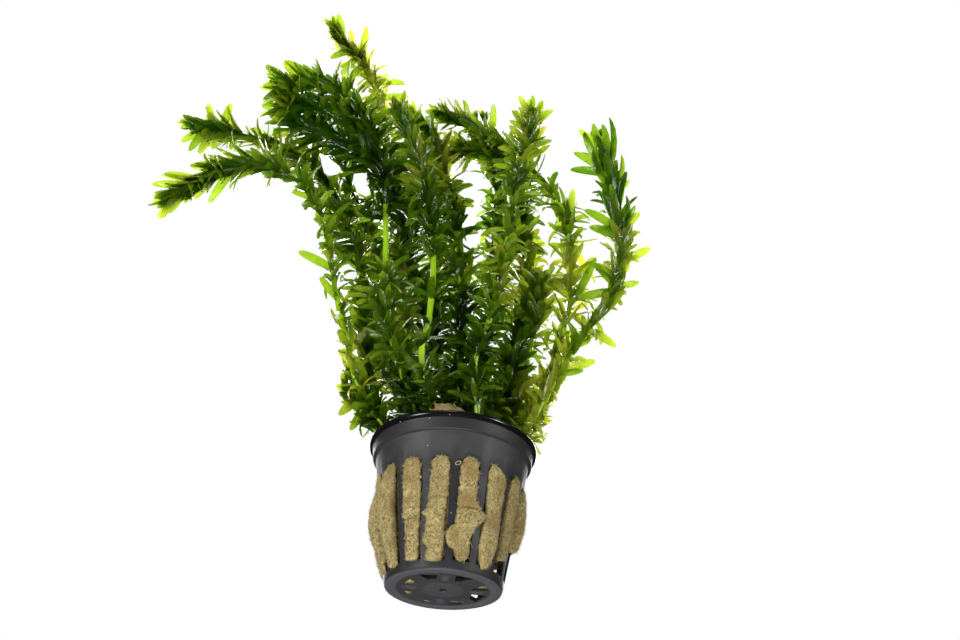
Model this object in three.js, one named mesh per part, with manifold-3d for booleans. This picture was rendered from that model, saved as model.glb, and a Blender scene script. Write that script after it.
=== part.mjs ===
// Potted Brazilian waterweed: a slotted net pot, a wad of rock wool and the stems that grow from it.
// Millimetres, +Z up. The origin is the middle of the pot's flat base and -Y is the front.

import * as THREE from 'three';
import { mergeVertices } from 'three/addons/utils/BufferGeometryUtils.js';
import Module from 'manifold-3d';

const wasm = await Module();
wasm.setup();

// Net pot
const POT_HEIGHT = 47.5;
const RIM_RADIUS = 27.5;
const RIM_BEAD = 1.6;
const COLLAR_FOOT = 41.8;
const COLLAR_RADIUS = 25.8;
const WALL_TOP_RADIUS = 24.8;
const BASE_RADIUS = 18;
const WALL = 1.1;
const RIM_THICKNESS = 2;
const RIM_BEVEL = 0.4;
const BASE_BEVEL = 0.6;
const FLOOR = 1.6;
const POT_FACETS = 32;

// Slots in the pot's wall
const SLOT_COUNT = 16;
const SLOT_PITCH = (2 * Math.PI) / SLOT_COUNT;
const SLOT_TURN = THREE.MathUtils.degToRad(-8.2);
const SLOT_ANGLE = THREE.MathUtils.degToRad(15.4);
const SLOT_LOW = 2.9;
const SLOT_HIGH = 34;
const SLOT_SHOULDER = 1.8;
const SLOT_CUT_FROM = 12;

// Pierced base
const HOLE_PAIRS = 4;
const HOLE_TURN = THREE.MathUtils.degToRad(3);
const HOLE_CORNERS = [[7.8, 2.7], [8, 5], [11.6, 8.3], [13.3, 2.7]];

// Rock wool
const GAP = 0.35;
const WOOL_FOOT = FLOOR + GAP;
const WOOL_FACETS = 16;
const WOOL_CROWN = [[23.6, 46.2], [22, 48], [14, 50.4], [0, 51]];
const LUMP_CENTRE = [-1.5, -17.5, 49];
const LUMP_SIZE = [8.5, 3.6, 5.2];
const LUMP_FACETS = [8, 5];
const LOBE_TAPER = 0.8;
const LOBE_ROOT = 14;

// How far the wool stands out of each slot, counted from the first slot toward +X
const WOOL_BULGES = [1, 1.2, 1.3, 1.9, 2, 1.6, 1.2, 1, 1.2, 1, 1.4, 1.8, 2.4, 3, 2.4, 1.2];

// Stems
const STEM_RADIUS = 1.15;
const TIP_RADIUS = 0.7;
const STEM_COLUMNS = 8;
const BORE_RADIUS = STEM_RADIUS + 0.6;
const BORE_DEPTH = 0.4;
const BORE_LENGTH = 16;
const FIRST_WHORL = 14;

// Leaves, in whorls that crowd together toward the growing tip; distances from the tip
const TIP_PITCH = 6;
const ROOT_PITCH = 12.5;
const PITCH_REACH = 60;
const TIP_TILT = 30;
const SPREAD_TILT = 76;
const TILT_REACH = 35;
const TIP_LEAF = 7;
const LONGEST_LEAF = 12;
const LEAF_REACH = 24;
const LEAF_DROOP = 0.22;
const DROOP_REACH = 70;
const LEAF_WOBBLE = 0.3;
const SHORTEST_SHARE = 0.85;
const LENGTH_SPREAD = 0.3;
const AXIL_RADIUS = 1.9;
const TIP_AXIL_RADIUS = 1.2;
const LEAF_CLEARANCE = 0.4;
const LEAF_CUTS = [1, 0.8, 0.6, 0.4, 0.25];

// Single blades
const BLADE_WIDTH = 3;
const BLADE_FOLD = 1.2;
const BLADE_WIDEST = 0.38;
const BLADE_ROOT = 0.4;
const AXIS_SAMPLES = 300;
const TIP_SAMPLES = 5;

// Centre lines of the stems, from the foot in the wool to the growing tip
const STEMS = {
  stem_left_arch: [[-14, -6, 41], [-31, -12, 60], [-38, -16, 77], [-44, -18, 96], [-49, -20, 115],
    [-58, -22, 134], [-72, -24, 144], [-85, -27, 140], [-93, -30, 130], [-99, -32, 122]],
  stem_upper_left: [[-12, 4, 41], [-27, 2, 88], [-35, 0, 107], [-43, -4, 126], [-52, -8, 149],
    [-66, -11, 162], [-82, -14, 166], [-94, -17, 166], [-101, -19, 165]],
  stem_left_bare: [[-7, -13, 41], [-23, -18, 77], [-27, -21, 99], [-29, -23, 119], [-32, -25, 141],
    [-38, -27, 159], [-47, -29, 174], [-59, -31, 180], [-69, -33, 176]],
  stem_top: [[-4, 5, 41], [-19, 6, 89], [-23, 8, 116], [-28, 10, 151], [-35, 10, 188],
    [-43, 8, 216], [-49, 4, 231], [-54, 1, 236], [-59, -2, 239]],
  stem_centre_bare: [[-2, -15, 41], [-12, -21, 67], [-11, -25, 82], [-11, -27, 100],
    [-13, -28, 119], [-18, -27, 143], [-24, -25, 162], [-29, -23, 177]],
  stem_centre_right: [[6, -8, 41], [0, -12, 79], [-1, -14, 98], [-4, -14, 124], [-9, -13, 149],
    [-14, -12, 169], [-20, -12, 180]],
  stem_right_arch: [[17, 2, 41], [29, 4, 73], [34, 4, 91], [39, 4, 112], [39, 4, 132],
    [37, 3, 154], [27, 1, 171], [13, -2, 183], [-1, -5, 190], [-10, -8, 191]],
  stem_right_upright: [[9, -14, 41], [5, -22, 67], [9, -27, 83], [12, -29, 101], [14, -30, 122],
    [16, -30, 145], [19, -29, 162], [20, -28, 173]],
  stem_right_tall: [[18, -7, 41], [30, -12, 67], [38, -15, 85], [47, -17, 104], [53, -18, 122],
    [54, -17, 143], [52, -15, 163], [50, -13, 177]],
  stem_right_inner: [[12, 8, 41], [21, 14, 93], [24, 18, 121], [23, 20, 149], [20, 20, 175],
    [16, 18, 197]],
  stem_back_left: [[-9, 14, 41], [-22, 24, 96], [-32, 31, 127], [-41, 35, 160], [-52, 37, 189],
    [-61, 37, 210], [-72, 35, 220], [-82, 33, 219]],
  stem_back_centre: [[2, 16, 41], [-9, 27, 103], [-10, 34, 141], [-14, 37, 181], [-22, 37, 215],
    [-29, 36, 234]],
  stem_back_right: [[8, 15, 41], [8, 26, 99], [11, 32, 137], [12, 35, 176], [9, 35, 208],
    [3, 33, 228]],
  stem_short_left: [[-17, 0, 41], [-27, -3, 53], [-32, -5, 58], [-35, -7, 62]],
  stem_short_right: [[18, -1, 41], [24, -4, 57], [29, -6, 65], [31, -8, 71]],
};

// Single leaves that stand out of the bunch, each from its root on the stem to its tip
const SINGLE_LEAVES = {
  stem_top: [[[-52, 2, 235], [-50, -7, 243]], [[-55, 1, 237], [-65, 3, 232]],
    [[-45, 7, 222], [-32, 6, 224]], [[-42, 8, 214], [-30, 7, 217]]],
  stem_upper_left: [[[-99, -18, 165], [-101, -25, 172]], [[-96, -18, 166], [-93, -24, 174]],
    [[-98, -18, 166], [-104, -13, 158]], [[-101, -19, 165], [-112, -23, 165]],
    [[-101, -19, 165], [-110, -17, 159]]],
  stem_left_arch: [[[-85, -27, 140], [-93, -20, 128]], [[-94, -30, 129], [-106, -34, 128]],
    [[-97, -31, 125], [-109, -34, 123]], [[-99, -32, 122], [-106, -28, 113]],
    [[-83, -27, 141], [-100, -29, 137]], [[-47, -19, 106], [-60, -24, 110]],
    [[-57, -22, 132], [-64, -24, 133]]],
  stem_left_bare: [[[-69, -33, 176], [-80, -34, 174]], [[-69, -33, 176], [-80, -29, 169]],
    [[-68, -33, 176], [-78, -39, 179]], [[-65, -32, 178], [-73, -39, 182]]],
  stem_short_left: [[[-34, -6, 61], [-40, -9, 64]], [[-34, -6, 61], [-38, -4, 55]]],
  stem_right_tall: [[[40, -15, 89], [52, -14, 84]], [[36, -14, 81], [45, -13, 77]],
    [[54, -18, 131], [41, -21, 137]], [[54, -18, 127], [64, -28, 135]],
    [[52, -18, 117], [64, -23, 120]], [[48, -17, 107], [60, -20, 107]],
    [[42, -16, 94], [54, -23, 101]], [[50, -13, 175], [50, -23, 184]],
    [[51, -14, 172], [40, -19, 179]], [[52, -15, 165], [36, -16, 169]]],
  stem_right_arch: [[[39, 4, 122], [47, -3, 130]], [[-10, -8, 191], [-21, -10, 192]],
    [[-3, -6, 191], [-6, -13, 197]], [[6, -4, 187], [6, -13, 196]]],
  stem_right_upright: [[[20, -28, 173], [15, -34, 179]], [[20, -28, 173], [24, -34, 178]],
    [[20, -28, 172], [28, -32, 175]]],
};

const UP = new THREE.Vector3(0, 0, 1);
const BACK = new THREE.Vector3(0, 1, 0);
const BLADE_UPPER = new THREE.Vector3(0, 0.86, 0.5);

// Corners closer than this to a straight edge or flat face are taken out
const FLATNESS = 0.02;

const materials = {
  pot: new THREE.MeshStandardMaterial({ color: 0x34353a, roughness: 0.55, metalness: 0 }),
  wool: new THREE.MeshStandardMaterial({ color: 0xa8966a, roughness: 0.95, metalness: 0 }),
  plant: new THREE.MeshStandardMaterial({ color: 0x4f8a14, roughness: 0.4, metalness: 0 }),
};

// A geometry class's shape as a solid, turned right side out where its making left it inside out
function solidOf(geometry) {
  let plain = geometry.clone();
  plain.deleteAttribute('normal');
  plain.deleteAttribute('uv');
  plain = mergeVertices(plain, 1e-4);
  const triVerts = new Uint32Array(plain.index.array);
  const vertProperties = new Float32Array(plain.attributes.position.array);
  const solid = new wasm.Manifold(new wasm.Mesh({ numProp: 3, vertProperties, triVerts }));
  if (solid.volume() > 0) {
    return solid;
  }
  for (let corner = 0; corner < triVerts.length; corner += 3) {
    const swapped = triVerts[corner];
    triVerts[corner] = triVerts[corner + 1];
    triVerts[corner + 1] = swapped;
  }
  return new wasm.Manifold(new wasm.Mesh({ numProp: 3, vertProperties, triVerts }));
}

// Crossing blades can close in a small pocket of air, whose skin has a negative volume
function withoutPockets(solid) {
  const shells = solid.decompose().filter((shell) => shell.volume() > 0);
  return shells.reduce((whole, shell) => whole.add(shell));
}

function meshOf(name, solid, material) {
  const plain = withoutPockets(solid.asOriginal().simplify(FLATNESS));
  const { vertProperties, triVerts } = plain.getMesh();
  const geometry = new THREE.BufferGeometry();
  geometry.setAttribute('position', new THREE.BufferAttribute(new Float32Array(vertProperties), 3));
  geometry.setIndex(new THREE.BufferAttribute(new Uint32Array(triVerts), 1));
  geometry.computeVertexNormals();
  const mesh = new THREE.Mesh(geometry, material);
  mesh.name = name;
  return mesh;
}

// A turned shape about Z from [radius, height] pairs that start and end on the axis
function turned(profile, facets, turn) {
  const geometry = new THREE.LatheGeometry(profile.map(([r, z]) => new THREE.Vector2(r, z)), facets);
  geometry.rotateX(Math.PI / 2);
  geometry.rotateZ(turn);
  return solidOf(geometry);
}

// Outer radius of the slotted wall at a height
function wallRadius(z) {
  return BASE_RADIUS + ((WALL_TOP_RADIUS - BASE_RADIUS) * z) / COLLAR_FOOT;
}

function slotAngle(slot) {
  return SLOT_TURN + slot * SLOT_PITCH;
}

// The front view of one slot, its sides leaning with the wall and its top corners cut off
function slotShape(inset) {
  const halfLow = wallRadius(SLOT_LOW) * Math.tan(SLOT_ANGLE / 2) - inset;
  const halfHigh = wallRadius(SLOT_HIGH) * Math.tan(SLOT_ANGLE / 2) - inset;
  const corners = [
    [-halfLow, SLOT_LOW + inset],
    [halfLow, SLOT_LOW + inset],
    [halfHigh, SLOT_HIGH - SLOT_SHOULDER - inset],
    [halfHigh - SLOT_SHOULDER, SLOT_HIGH - inset],
    [SLOT_SHOULDER - halfHigh, SLOT_HIGH - inset],
    [-halfHigh, SLOT_HIGH - SLOT_SHOULDER - inset],
  ];
  return new THREE.Shape(corners.map(([x, y]) => new THREE.Vector2(x, y)));
}

// A shape drawn in front view, carried outward from the pot's axis at an angle from the front
function radialPrism(shape, from, to, angle) {
  const geometry = new THREE.ExtrudeGeometry(shape, { depth: to - from, bevelEnabled: false });
  geometry.rotateX(Math.PI / 2);
  geometry.translate(0, -from, 0);
  geometry.rotateZ(angle);
  return geometry;
}

function makePot() {
  const bead = POT_HEIGHT - RIM_BEAD;
  const outside = [
    [0, 0],
    [BASE_RADIUS - BASE_BEVEL, 0],
    [wallRadius(BASE_BEVEL), BASE_BEVEL],
    [WALL_TOP_RADIUS, COLLAR_FOOT],
    [COLLAR_RADIUS, COLLAR_FOOT],
    [COLLAR_RADIUS + RIM_BEVEL, bead],
    [RIM_RADIUS, bead + RIM_BEVEL],
    [RIM_RADIUS, POT_HEIGHT - RIM_BEVEL],
    [RIM_RADIUS - RIM_BEVEL, POT_HEIGHT],
  ];
  const inside = [
    [RIM_RADIUS - RIM_THICKNESS, POT_HEIGHT - RIM_BEVEL],
    [WALL_TOP_RADIUS - WALL, COLLAR_FOOT - RIM_BEVEL],
    [wallRadius(FLOOR) - WALL, FLOOR],
    [0, FLOOR],
  ];
  let pot = turned([...outside, ...inside], POT_FACETS, SLOT_TURN);
  for (let pair = 0; pair < HOLE_PAIRS; pair += 1) {
    const angle = HOLE_TURN + (pair * 2 * Math.PI) / HOLE_PAIRS;
    pot = pot.subtract(baseHole(1, angle)).subtract(baseHole(-1, angle));
  }
  for (let slot = 0; slot < SLOT_COUNT; slot += 1) {
    const cutter = radialPrism(slotShape(0), SLOT_CUT_FROM, RIM_RADIUS, slotAngle(slot));
    pot = pot.subtract(solidOf(cutter));
  }
  return pot;
}

// One of the two slanted holes of a pair, on either side of the tongue between them
function baseHole(side, angle) {
  const corners = HOLE_CORNERS.map(([x, y]) => new THREE.Vector2(x, side * y));
  const shape = new THREE.Shape(corners);
  const geometry = new THREE.ExtrudeGeometry(shape, { depth: 3 * FLOOR, bevelEnabled: false });
  geometry.translate(0, 0, -FLOOR);
  geometry.rotateZ(angle);
  return solidOf(geometry);
}

// The wool's part in one slot: it narrows outward as it swells past the wall
function woolLobe(slot) {
  const bulge = WOOL_BULGES[slot];
  const geometry = radialPrism(slotShape(GAP), LOBE_ROOT, BASE_RADIUS, 0);
  const position = geometry.attributes.position;
  const middle = (SLOT_LOW + SLOT_HIGH) / 2;
  const halfway = (LOBE_ROOT + BASE_RADIUS) / 2;
  for (let i = 0; i < position.count; i += 1) {
    if (position.getY(i) < -halfway) {
      const z = middle + (position.getZ(i) - middle) * LOBE_TAPER;
      position.setXYZ(i, position.getX(i) * LOBE_TAPER, -(wallRadius(z) + bulge), z);
    }
  }
  geometry.rotateZ(slotAngle(slot));
  return solidOf(geometry);
}

function makeWool(bores) {
  const skin = WALL + GAP;
  const profile = [
    [0, WOOL_FOOT],
    [wallRadius(WOOL_FOOT) - skin, WOOL_FOOT],
    [WALL_TOP_RADIUS - skin, COLLAR_FOOT - 1],
    ...WOOL_CROWN,
  ];
  let wool = turned(profile, WOOL_FACETS, SLOT_TURN + SLOT_PITCH / 2);
  const lump = new THREE.SphereGeometry(1, ...LUMP_FACETS);
  lump.rotateX(Math.PI / 2);
  lump.scale(...LUMP_SIZE);
  lump.translate(...LUMP_CENTRE);
  wool = wool.add(solidOf(lump));
  for (let slot = 0; slot < SLOT_COUNT; slot += 1) {
    wool = wool.add(woolLobe(slot));
  }
  for (const bore of bores) {
    wool = wool.subtract(bore);
  }
  return wool;
}

function centreLine(points) {
  const knots = points.map(([x, y, z]) => new THREE.Vector3(x, y, z));
  return new THREE.CatmullRomCurve3(knots, false, 'catmullrom', 0.5);
}

// The direction of growth and the two directions across it, at a distance from the foot
function frameAt(curve, along) {
  const at = THREE.MathUtils.clamp(along / curve.getLength(), 0, 1);
  const growth = curve.getTangentAt(at);
  const sideways = growth.clone().cross(BACK).normalize();
  return { point: curve.getPointAt(at), growth, sideways, forward: growth.clone().cross(sideways) };
}

function outwardAt(frame, around) {
  const outward = frame.sideways.clone().multiplyScalar(Math.cos(around));
  return outward.addScaledVector(frame.forward, Math.sin(around));
}

// A tube from the foot to a point further along the stem, a little deeper than the foot
function stemBore(curve) {
  const { point, growth } = frameAt(curve, 0);
  const ahead = frameAt(curve, BORE_LENGTH).point;
  const path = new THREE.LineCurve3(point.clone().addScaledVector(growth, -BORE_DEPTH), ahead);
  const shape = new THREE.Shape();
  shape.absarc(0, 0, BORE_RADIUS, 0, 2 * Math.PI);
  const options = { steps: 1, curveSegments: 3, extrudePath: path };
  return solidOf(new THREE.ExtrudeGeometry(shape, options));
}

// A repeatable number from 0 to 1 for a leaf
function chance(seed) {
  const wave = Math.sin(seed * 12.9898) * 43758.5453;
  return wave - Math.floor(wave);
}

function rampTo(reach, distance) {
  return THREE.MathUtils.clamp(distance / reach, 0, 1);
}

// Leaves lie along the stem at its tip and spread out further down
function leafTilt(fromTip) {
  const spread = 1 - Math.exp(-fromTip / TILT_REACH);
  return THREE.MathUtils.degToRad(TIP_TILT + (SPREAD_TILT - TIP_TILT) * spread);
}

function leafLength(fromTip) {
  return TIP_LEAF + (LONGEST_LEAF - TIP_LEAF) * rampTo(LEAF_REACH, fromTip);
}

// The tip of a leaf, which leans ahead along the stem's own bend, or straight on past its end
function leafTip(curve, along, around, seed) {
  const length = curve.getLength();
  const fromTip = length - along;
  const tilt = leafTilt(fromTip) + LEAF_WOBBLE * (chance(seed) - 0.5);
  const reach = leafLength(fromTip) * (SHORTEST_SHARE + LENGTH_SPREAD * chance(seed + 0.5));
  const ahead = along + reach * Math.cos(tilt);
  const frame = frameAt(curve, ahead);
  const tip = frame.point.clone().addScaledVector(frame.growth, Math.max(0, ahead - length));
  tip.addScaledVector(outwardAt(frame, around), reach * Math.sin(tilt));
  const droop = LEAF_DROOP * rampTo(DROOP_REACH, fromTip) * Math.max(0, frame.growth.z);
  return tip.addScaledVector(UP, -reach * droop);
}

// Distances from the tip at which a stem carries a whorl in these solids
function whorlPlaces(length) {
  const places = [];
  let fromTip = 1;
  while (fromTip < length - FIRST_WHORL) {
    places.push(fromTip);
    fromTip += TIP_PITCH + (ROOT_PITCH - TIP_PITCH) * rampTo(PITCH_REACH, fromTip);
  }
  return places.reverse();
}

// An octahedron with its six corners moved: two ends, two sides, top and bottom
function octahedron(ends, sides, heights) {
  const geometry = new THREE.OctahedronGeometry(1);
  const position = geometry.attributes.position;
  for (let i = 0; i < position.count; i += 1) {
    const [x, y, z] = [position.getX(i), position.getY(i), position.getZ(i)];
    const pairs = [[x, ends], [y, sides], [z, heights]];
    const [sign, pair] = pairs.find(([value]) => Math.abs(value) > 0.5);
    position.setXYZ(i, ...(sign > 0 ? pair[0] : pair[1]).toArray());
  }
  return solidOf(geometry);
}

function isFree(probe, others) {
  return others.every((other) => probe.intersect(other).isEmpty());
}

// The rings of a stem, foot first: plain ones, and between them whorls with every other corner a leaf
function stemRings(curve, index, others) {
  const length = curve.getLength();
  const places = whorlPlaces(length).map((fromTip) => length - fromTip);
  const columnAngle = (2 * Math.PI) / STEM_COLUMNS;
  const radiusAt = (along) => STEM_RADIUS + ((TIP_RADIUS - STEM_RADIUS) * along) / length;
  const corner = (frame, column, radius) => (
    frame.point.clone().addScaledVector(outwardAt(frame, column * columnAngle), radius)
  );
  const plainRing = (along) => {
    const frame = frameAt(curve, along);
    return Array.from({ length: STEM_COLUMNS }, (_, column) => corner(frame, column, radiusAt(along)));
  };
  const rings = [plainRing(0), plainRing(places[0] / 2)];
  places.forEach((along, whorl) => {
    const below = rings.at(-1);
    const above = plainRing(whorl + 1 < places.length ? (along + places[whorl + 1]) / 2 : length);
    const frame = frameAt(curve, along);
    const axil = TIP_AXIL_RADIUS + (AXIL_RADIUS - TIP_AXIL_RADIUS) * rampTo(LEAF_REACH, length - along);
    const ring = below.map((_, column) => corner(frame, column, axil));
    for (let column = whorl % 2; column < STEM_COLUMNS; column += 2) {
      const seed = index * 1000 + whorl * 10 + column;
      const around = column * columnAngle + LEAF_WOBBLE * (chance(seed + 0.25) - 0.5);
      const tip = leafTip(curve, along, around, seed);
      const left = ring[(column + STEM_COLUMNS - 1) % STEM_COLUMNS];
      const right = ring[(column + 1) % STEM_COLUMNS];
      const probe = (end) => {
        const outward = end.clone().sub(frame.point).normalize().multiplyScalar(LEAF_CLEARANCE);
        const spread = right.clone().sub(left).normalize().multiplyScalar(LEAF_CLEARANCE);
        const ends = [end.clone().add(outward), frame.point];
        const sides = [left.clone().add(outward).sub(spread), right.clone().add(outward).add(spread)];
        const heights = [above[column].clone().add(outward), below[column].clone().add(outward)];
        return octahedron(ends, sides, heights);
      };
      const ends = LEAF_CUTS.map((cut) => frame.point.clone().lerp(tip, cut));
      ring[column] = ends.find((end) => isFree(probe(end), others)) ?? ring[column];
    }
    rings.push(ring, above);
  });
  return rings;
}

// A stem as one skin over its rings, from a cylinder whose corners are moved onto them
function stemSkin(rings) {
  const last = rings.length - 1;
  const geometry = new THREE.CylinderGeometry(1, 1, last, STEM_COLUMNS, last);
  const position = geometry.attributes.position;
  for (let i = 0; i < position.count; i += 1) {
    const ring = rings[Math.round(position.getY(i) + last / 2)];
    const [x, z] = [position.getX(i), position.getZ(i)];
    const column = Math.round((Math.atan2(x, z) / (2 * Math.PI)) * STEM_COLUMNS);
    const isHub = Math.hypot(x, z) < 0.5;
    const hub = ring.reduce((sum, point) => sum.add(point), new THREE.Vector3()).divideScalar(ring.length);
    const target = isHub ? hub : ring[(column + STEM_COLUMNS) % STEM_COLUMNS];
    position.setXYZ(i, target.x, target.y, target.z);
  }
  return solidOf(geometry);
}

// The room that a stem without its leaves takes up, which its neighbours' leaves keep out of
function stemRoom(curve) {
  const steps = Math.ceil(curve.getLength() / TIP_PITCH);
  const shape = new THREE.Shape();
  shape.absarc(0, 0, AXIL_RADIUS + LEAF_CLEARANCE, 0, 2 * Math.PI);
  const options = { steps, curveSegments: STEM_COLUMNS / 2, extrudePath: curve };
  return solidOf(new THREE.ExtrudeGeometry(shape, options));
}

// A single leaf as a keeled blade: root, tip, and two edges at its widest
function leafBlade(root, tip, grow) {
  const along = tip.clone().sub(root);
  const across = along.clone().cross(BLADE_UPPER).normalize();
  const rise = across.clone().cross(along).normalize();
  const start = root.clone().addScaledVector(rise, -grow);
  const end = tip.clone().addScaledVector(along, grow / along.length()).addScaledVector(rise, -grow);
  const widest = root.clone().addScaledVector(along, BLADE_WIDEST).addScaledVector(rise, BLADE_FOLD + grow);
  const half = BLADE_WIDTH / 2 + 2 * grow;
  const left = widest.clone().addScaledVector(across, -half);
  const right = widest.clone().addScaledVector(across, half);
  const quarter = (a, b, c, d) => a.clone().add(b).sub(c).sub(d).multiplyScalar(0.25);
  const matrix = new THREE.Matrix4().makeBasis(
    quarter(start, right, end, left),
    quarter(start, left, end, right),
    quarter(start, end, left, right),
  );
  matrix.setPosition(start.clone().add(end).add(left).add(right).multiplyScalar(0.25));
  return solidOf(new THREE.TetrahedronGeometry(Math.sqrt(3)).applyMatrix4(matrix));
}

// A stem's skin with its single leaves joined on
function leafyStem(name, index, curve, others) {
  let stem = stemSkin(stemRings(curve, index, others));
  for (const [from, to] of SINGLE_LEAVES[name] ?? []) {
    const tip = new THREE.Vector3(...to);
    const axis = nearestOnAxis(curve, new THREE.Vector3(...from));
    const root = axis.clone().lerp(tip, BLADE_ROOT / axis.distanceTo(tip));
    if (isFree(leafBlade(root, tip, LEAF_CLEARANCE), others)) {
      stem = stem.add(leafBlade(root, tip, 0));
    }
  }
  return stem;
}

function nearestOnAxis(curve, wanted) {
  const samples = curve.getSpacedPoints(AXIS_SAMPLES).slice(0, -TIP_SAMPLES);
  return samples.reduce((best, point) => (
    point.distanceTo(wanted) < best.distanceTo(wanted) ? point : best
  ));
}

const plant = new THREE.Group();
const names = Object.keys(STEMS);
const curves = names.map((name) => centreLine(STEMS[name]));
const pot = makePot();
const wool = makeWool(curves.map(stemBore));
const stems = curves.map(stemRoom);

plant.add(meshOf('pot', pot, materials.pot));
plant.add(meshOf('rock_wool', wool, materials.wool));
names.forEach((name, index) => {
  const others = [pot, wool, ...stems.filter((_, other) => other !== index)];
  stems[index] = leafyStem(name, index, curves[index], others);
  plant.add(meshOf(name, stems[index], materials.plant.clone()));
});

export default plant;
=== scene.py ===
"""Potted Brazilian waterweed: the looks of the net pot, the rock wool and the leafy stems.

Sizes are written in millimetres and turned to metres where a mesh is made. +Z is up, the origin is
the middle of the pot's flat base and -Y is the front, as in the frame.
"""

import math

import bmesh
import bpy
import numpy as np
from mathutils import Matrix, Vector, noise


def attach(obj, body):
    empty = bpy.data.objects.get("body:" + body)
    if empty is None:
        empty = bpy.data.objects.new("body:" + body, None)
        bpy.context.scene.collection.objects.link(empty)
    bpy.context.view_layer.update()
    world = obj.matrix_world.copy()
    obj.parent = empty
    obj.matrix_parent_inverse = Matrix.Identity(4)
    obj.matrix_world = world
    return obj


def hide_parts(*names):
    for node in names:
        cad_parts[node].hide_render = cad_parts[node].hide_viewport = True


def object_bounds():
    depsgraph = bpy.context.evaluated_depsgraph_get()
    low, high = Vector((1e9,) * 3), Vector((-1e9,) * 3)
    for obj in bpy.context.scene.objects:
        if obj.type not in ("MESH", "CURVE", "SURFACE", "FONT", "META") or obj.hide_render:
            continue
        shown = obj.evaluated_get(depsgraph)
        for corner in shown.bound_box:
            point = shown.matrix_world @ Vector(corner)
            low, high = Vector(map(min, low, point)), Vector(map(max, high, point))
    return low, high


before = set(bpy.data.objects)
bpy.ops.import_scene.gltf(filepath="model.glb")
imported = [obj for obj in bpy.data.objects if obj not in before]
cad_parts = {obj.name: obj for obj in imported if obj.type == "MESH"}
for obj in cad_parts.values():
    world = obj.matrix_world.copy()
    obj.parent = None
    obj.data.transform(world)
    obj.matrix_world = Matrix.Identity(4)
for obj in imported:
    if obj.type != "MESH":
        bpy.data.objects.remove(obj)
cad_low, cad_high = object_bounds()

MM = 0.001

# The photograph looks up at the pot from below its base, with a slight roll
CAMERA_PLACE = (0.0, -303.73, -107.34)
CAMERA_TURN = (124.3594, -2.8755, -3.1357)
FOCAL_LENGTH = 38.57
SENSOR_WIDTH = 36.0

# The light tent glows behind the plant, so that thin leaves light up, and it is dim in front
BACKLIGHT = (-0.04, 0.787, 0.616)
GLOW_START = 0.72
GLOW_FULL = 0.98
FRONT_GLOW = 0.05
BACK_GLOW = 14.0
FLOOR_SIZE = 4000
SOFTBOX_AIM = (0, 0, 90)
SOFTBOXES = (
    ("softbox_left", (-430, -400, -40), 130, 2.4),
    ("softbox_right", (470, -330, 60), 130, 1.9),
    ("softbox_top", (-60, -330, 480), 150, 0.8),
    ("softbox_low", (-60, -260, -420), 200, 2.6),
)

# Net pot
POT_HEIGHT = 47.5
RIM_RADIUS = 27.5
COLLAR_FOOT = 41.8
COLLAR_RADIUS = 25.8
WALL_TOP_RADIUS = 24.8
BASE_RADIUS = 18.0
WALL = 1.1
FLOOR = 1.6
RECESS = 0.26
BOSS_LIFT = 0.17
RECESS_INNER = 6.3
RECESS_OUTER = 14.3
SLOT_COUNT = 16
SLOT_TURN = -8.2
SLOT_PITCH = 360.0 / SLOT_COUNT
SLOT_ANGLE = 15.4
SLOT_LOW = 2.9
SLOT_HIGH = 33.5
SLOT_ROUND = 2.3
SLOT_CUT = 3.8
POT_STEPS = 128
EDGE_ROUND = 0.16
EDGE_ANGLE = 38
SHARP_ANGLE = 42

# Holes of the base seen from below, X and Y, each as open as it is left by wool, flash and a split
BASE_HOLES = (
    ((-7.6, -11.9), (-4.7, -8.0), (-2.2, -8.3), (-1.9, -12.2)),
    ((3.3, -13.0), (3.4, -7.9), (5.2, -7.7), (9.0, -10.9)),
    ((-12.2, -3.2), (-9.2, -2.9), (-8.3, -4.6), (-10.0, -7.6)),
    ((-12.2, 3.0), (-9.3, 3.3), (-9.6, 5.3), (-10.4, 7.2)),
    ((-6.2, 10.1), (-4.2, 10.1), (-3.7, 11.4), (-4.7, 12.5)),
    ((1.6, 13.3), (1.7, 12.1), (4.2, 11.8), (5.6, 10.3), (6.9, 10.5), (5.4, 12.7)),
    ((8.2, 6.0), (8.7, 2.3), (13.3, 2.7), (10.4, 9.1)),
    ((8.3, -1.1), (13.9, -1.3), (12.6, -6.0), (9.4, -3.3)),
)
HOLE_ROUND = 0.3
PETAL_TURN = 3.0
PETAL_MIDDLE = 10.2
PETAL_HEIGHT = 0.87
PETAL_SIZE = (9.6, 5.0, 1.6)

# Wrinkles of the base, X and Y along each
FOLD_PATHS = (
    ((2.6, 9.6), (5.2, 9.3), (7.4, 10.6), (8.2, 12.4), (7.6, 14.2)),
    ((8.4, 13.0), (10.6, 10.4), (12.6, 7.0), (14.8, 4.6), (16.4, 4.4)),
)
FOLD_OVERLAP = 0.35
FOLD_HALF_WIDTH = 0.42
FOLD_DEPTH = 0.3
FOLD_HEIGHT = 0.31

# Leaves: tongues with a blunt point, by share of their length
LEAF_RINGS = (0.03, 0.14, 0.32, 0.54, 0.76, 0.9, 0.97)
LEAF_PROFILE = (0.6, 0.84, 0.98, 1.0, 0.87, 0.6, 0.34)
LEAF_HALF_DEPTH = 0.1
LEAF_SHARP_ANGLE = 70
STEM_RADIUS = 0.95
TIP_RADIUS = 0.55
STEM_STEP = 1.6
NODE_SWELLING = 0.22
NODE_SPACING = 6.1

# Distance of the lowest whorl from a stem's or a side shoot's foot
FIRST_WHORL = 9.0
SHOOT_FIRST_WHORL = 2.0

# Distance between whorls at a tip, how much it grows toward the foot and within what distance
TIP_SPACING = 1.1
SPACING_GAIN = 1.6
SPACING_REACH = 38

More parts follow.
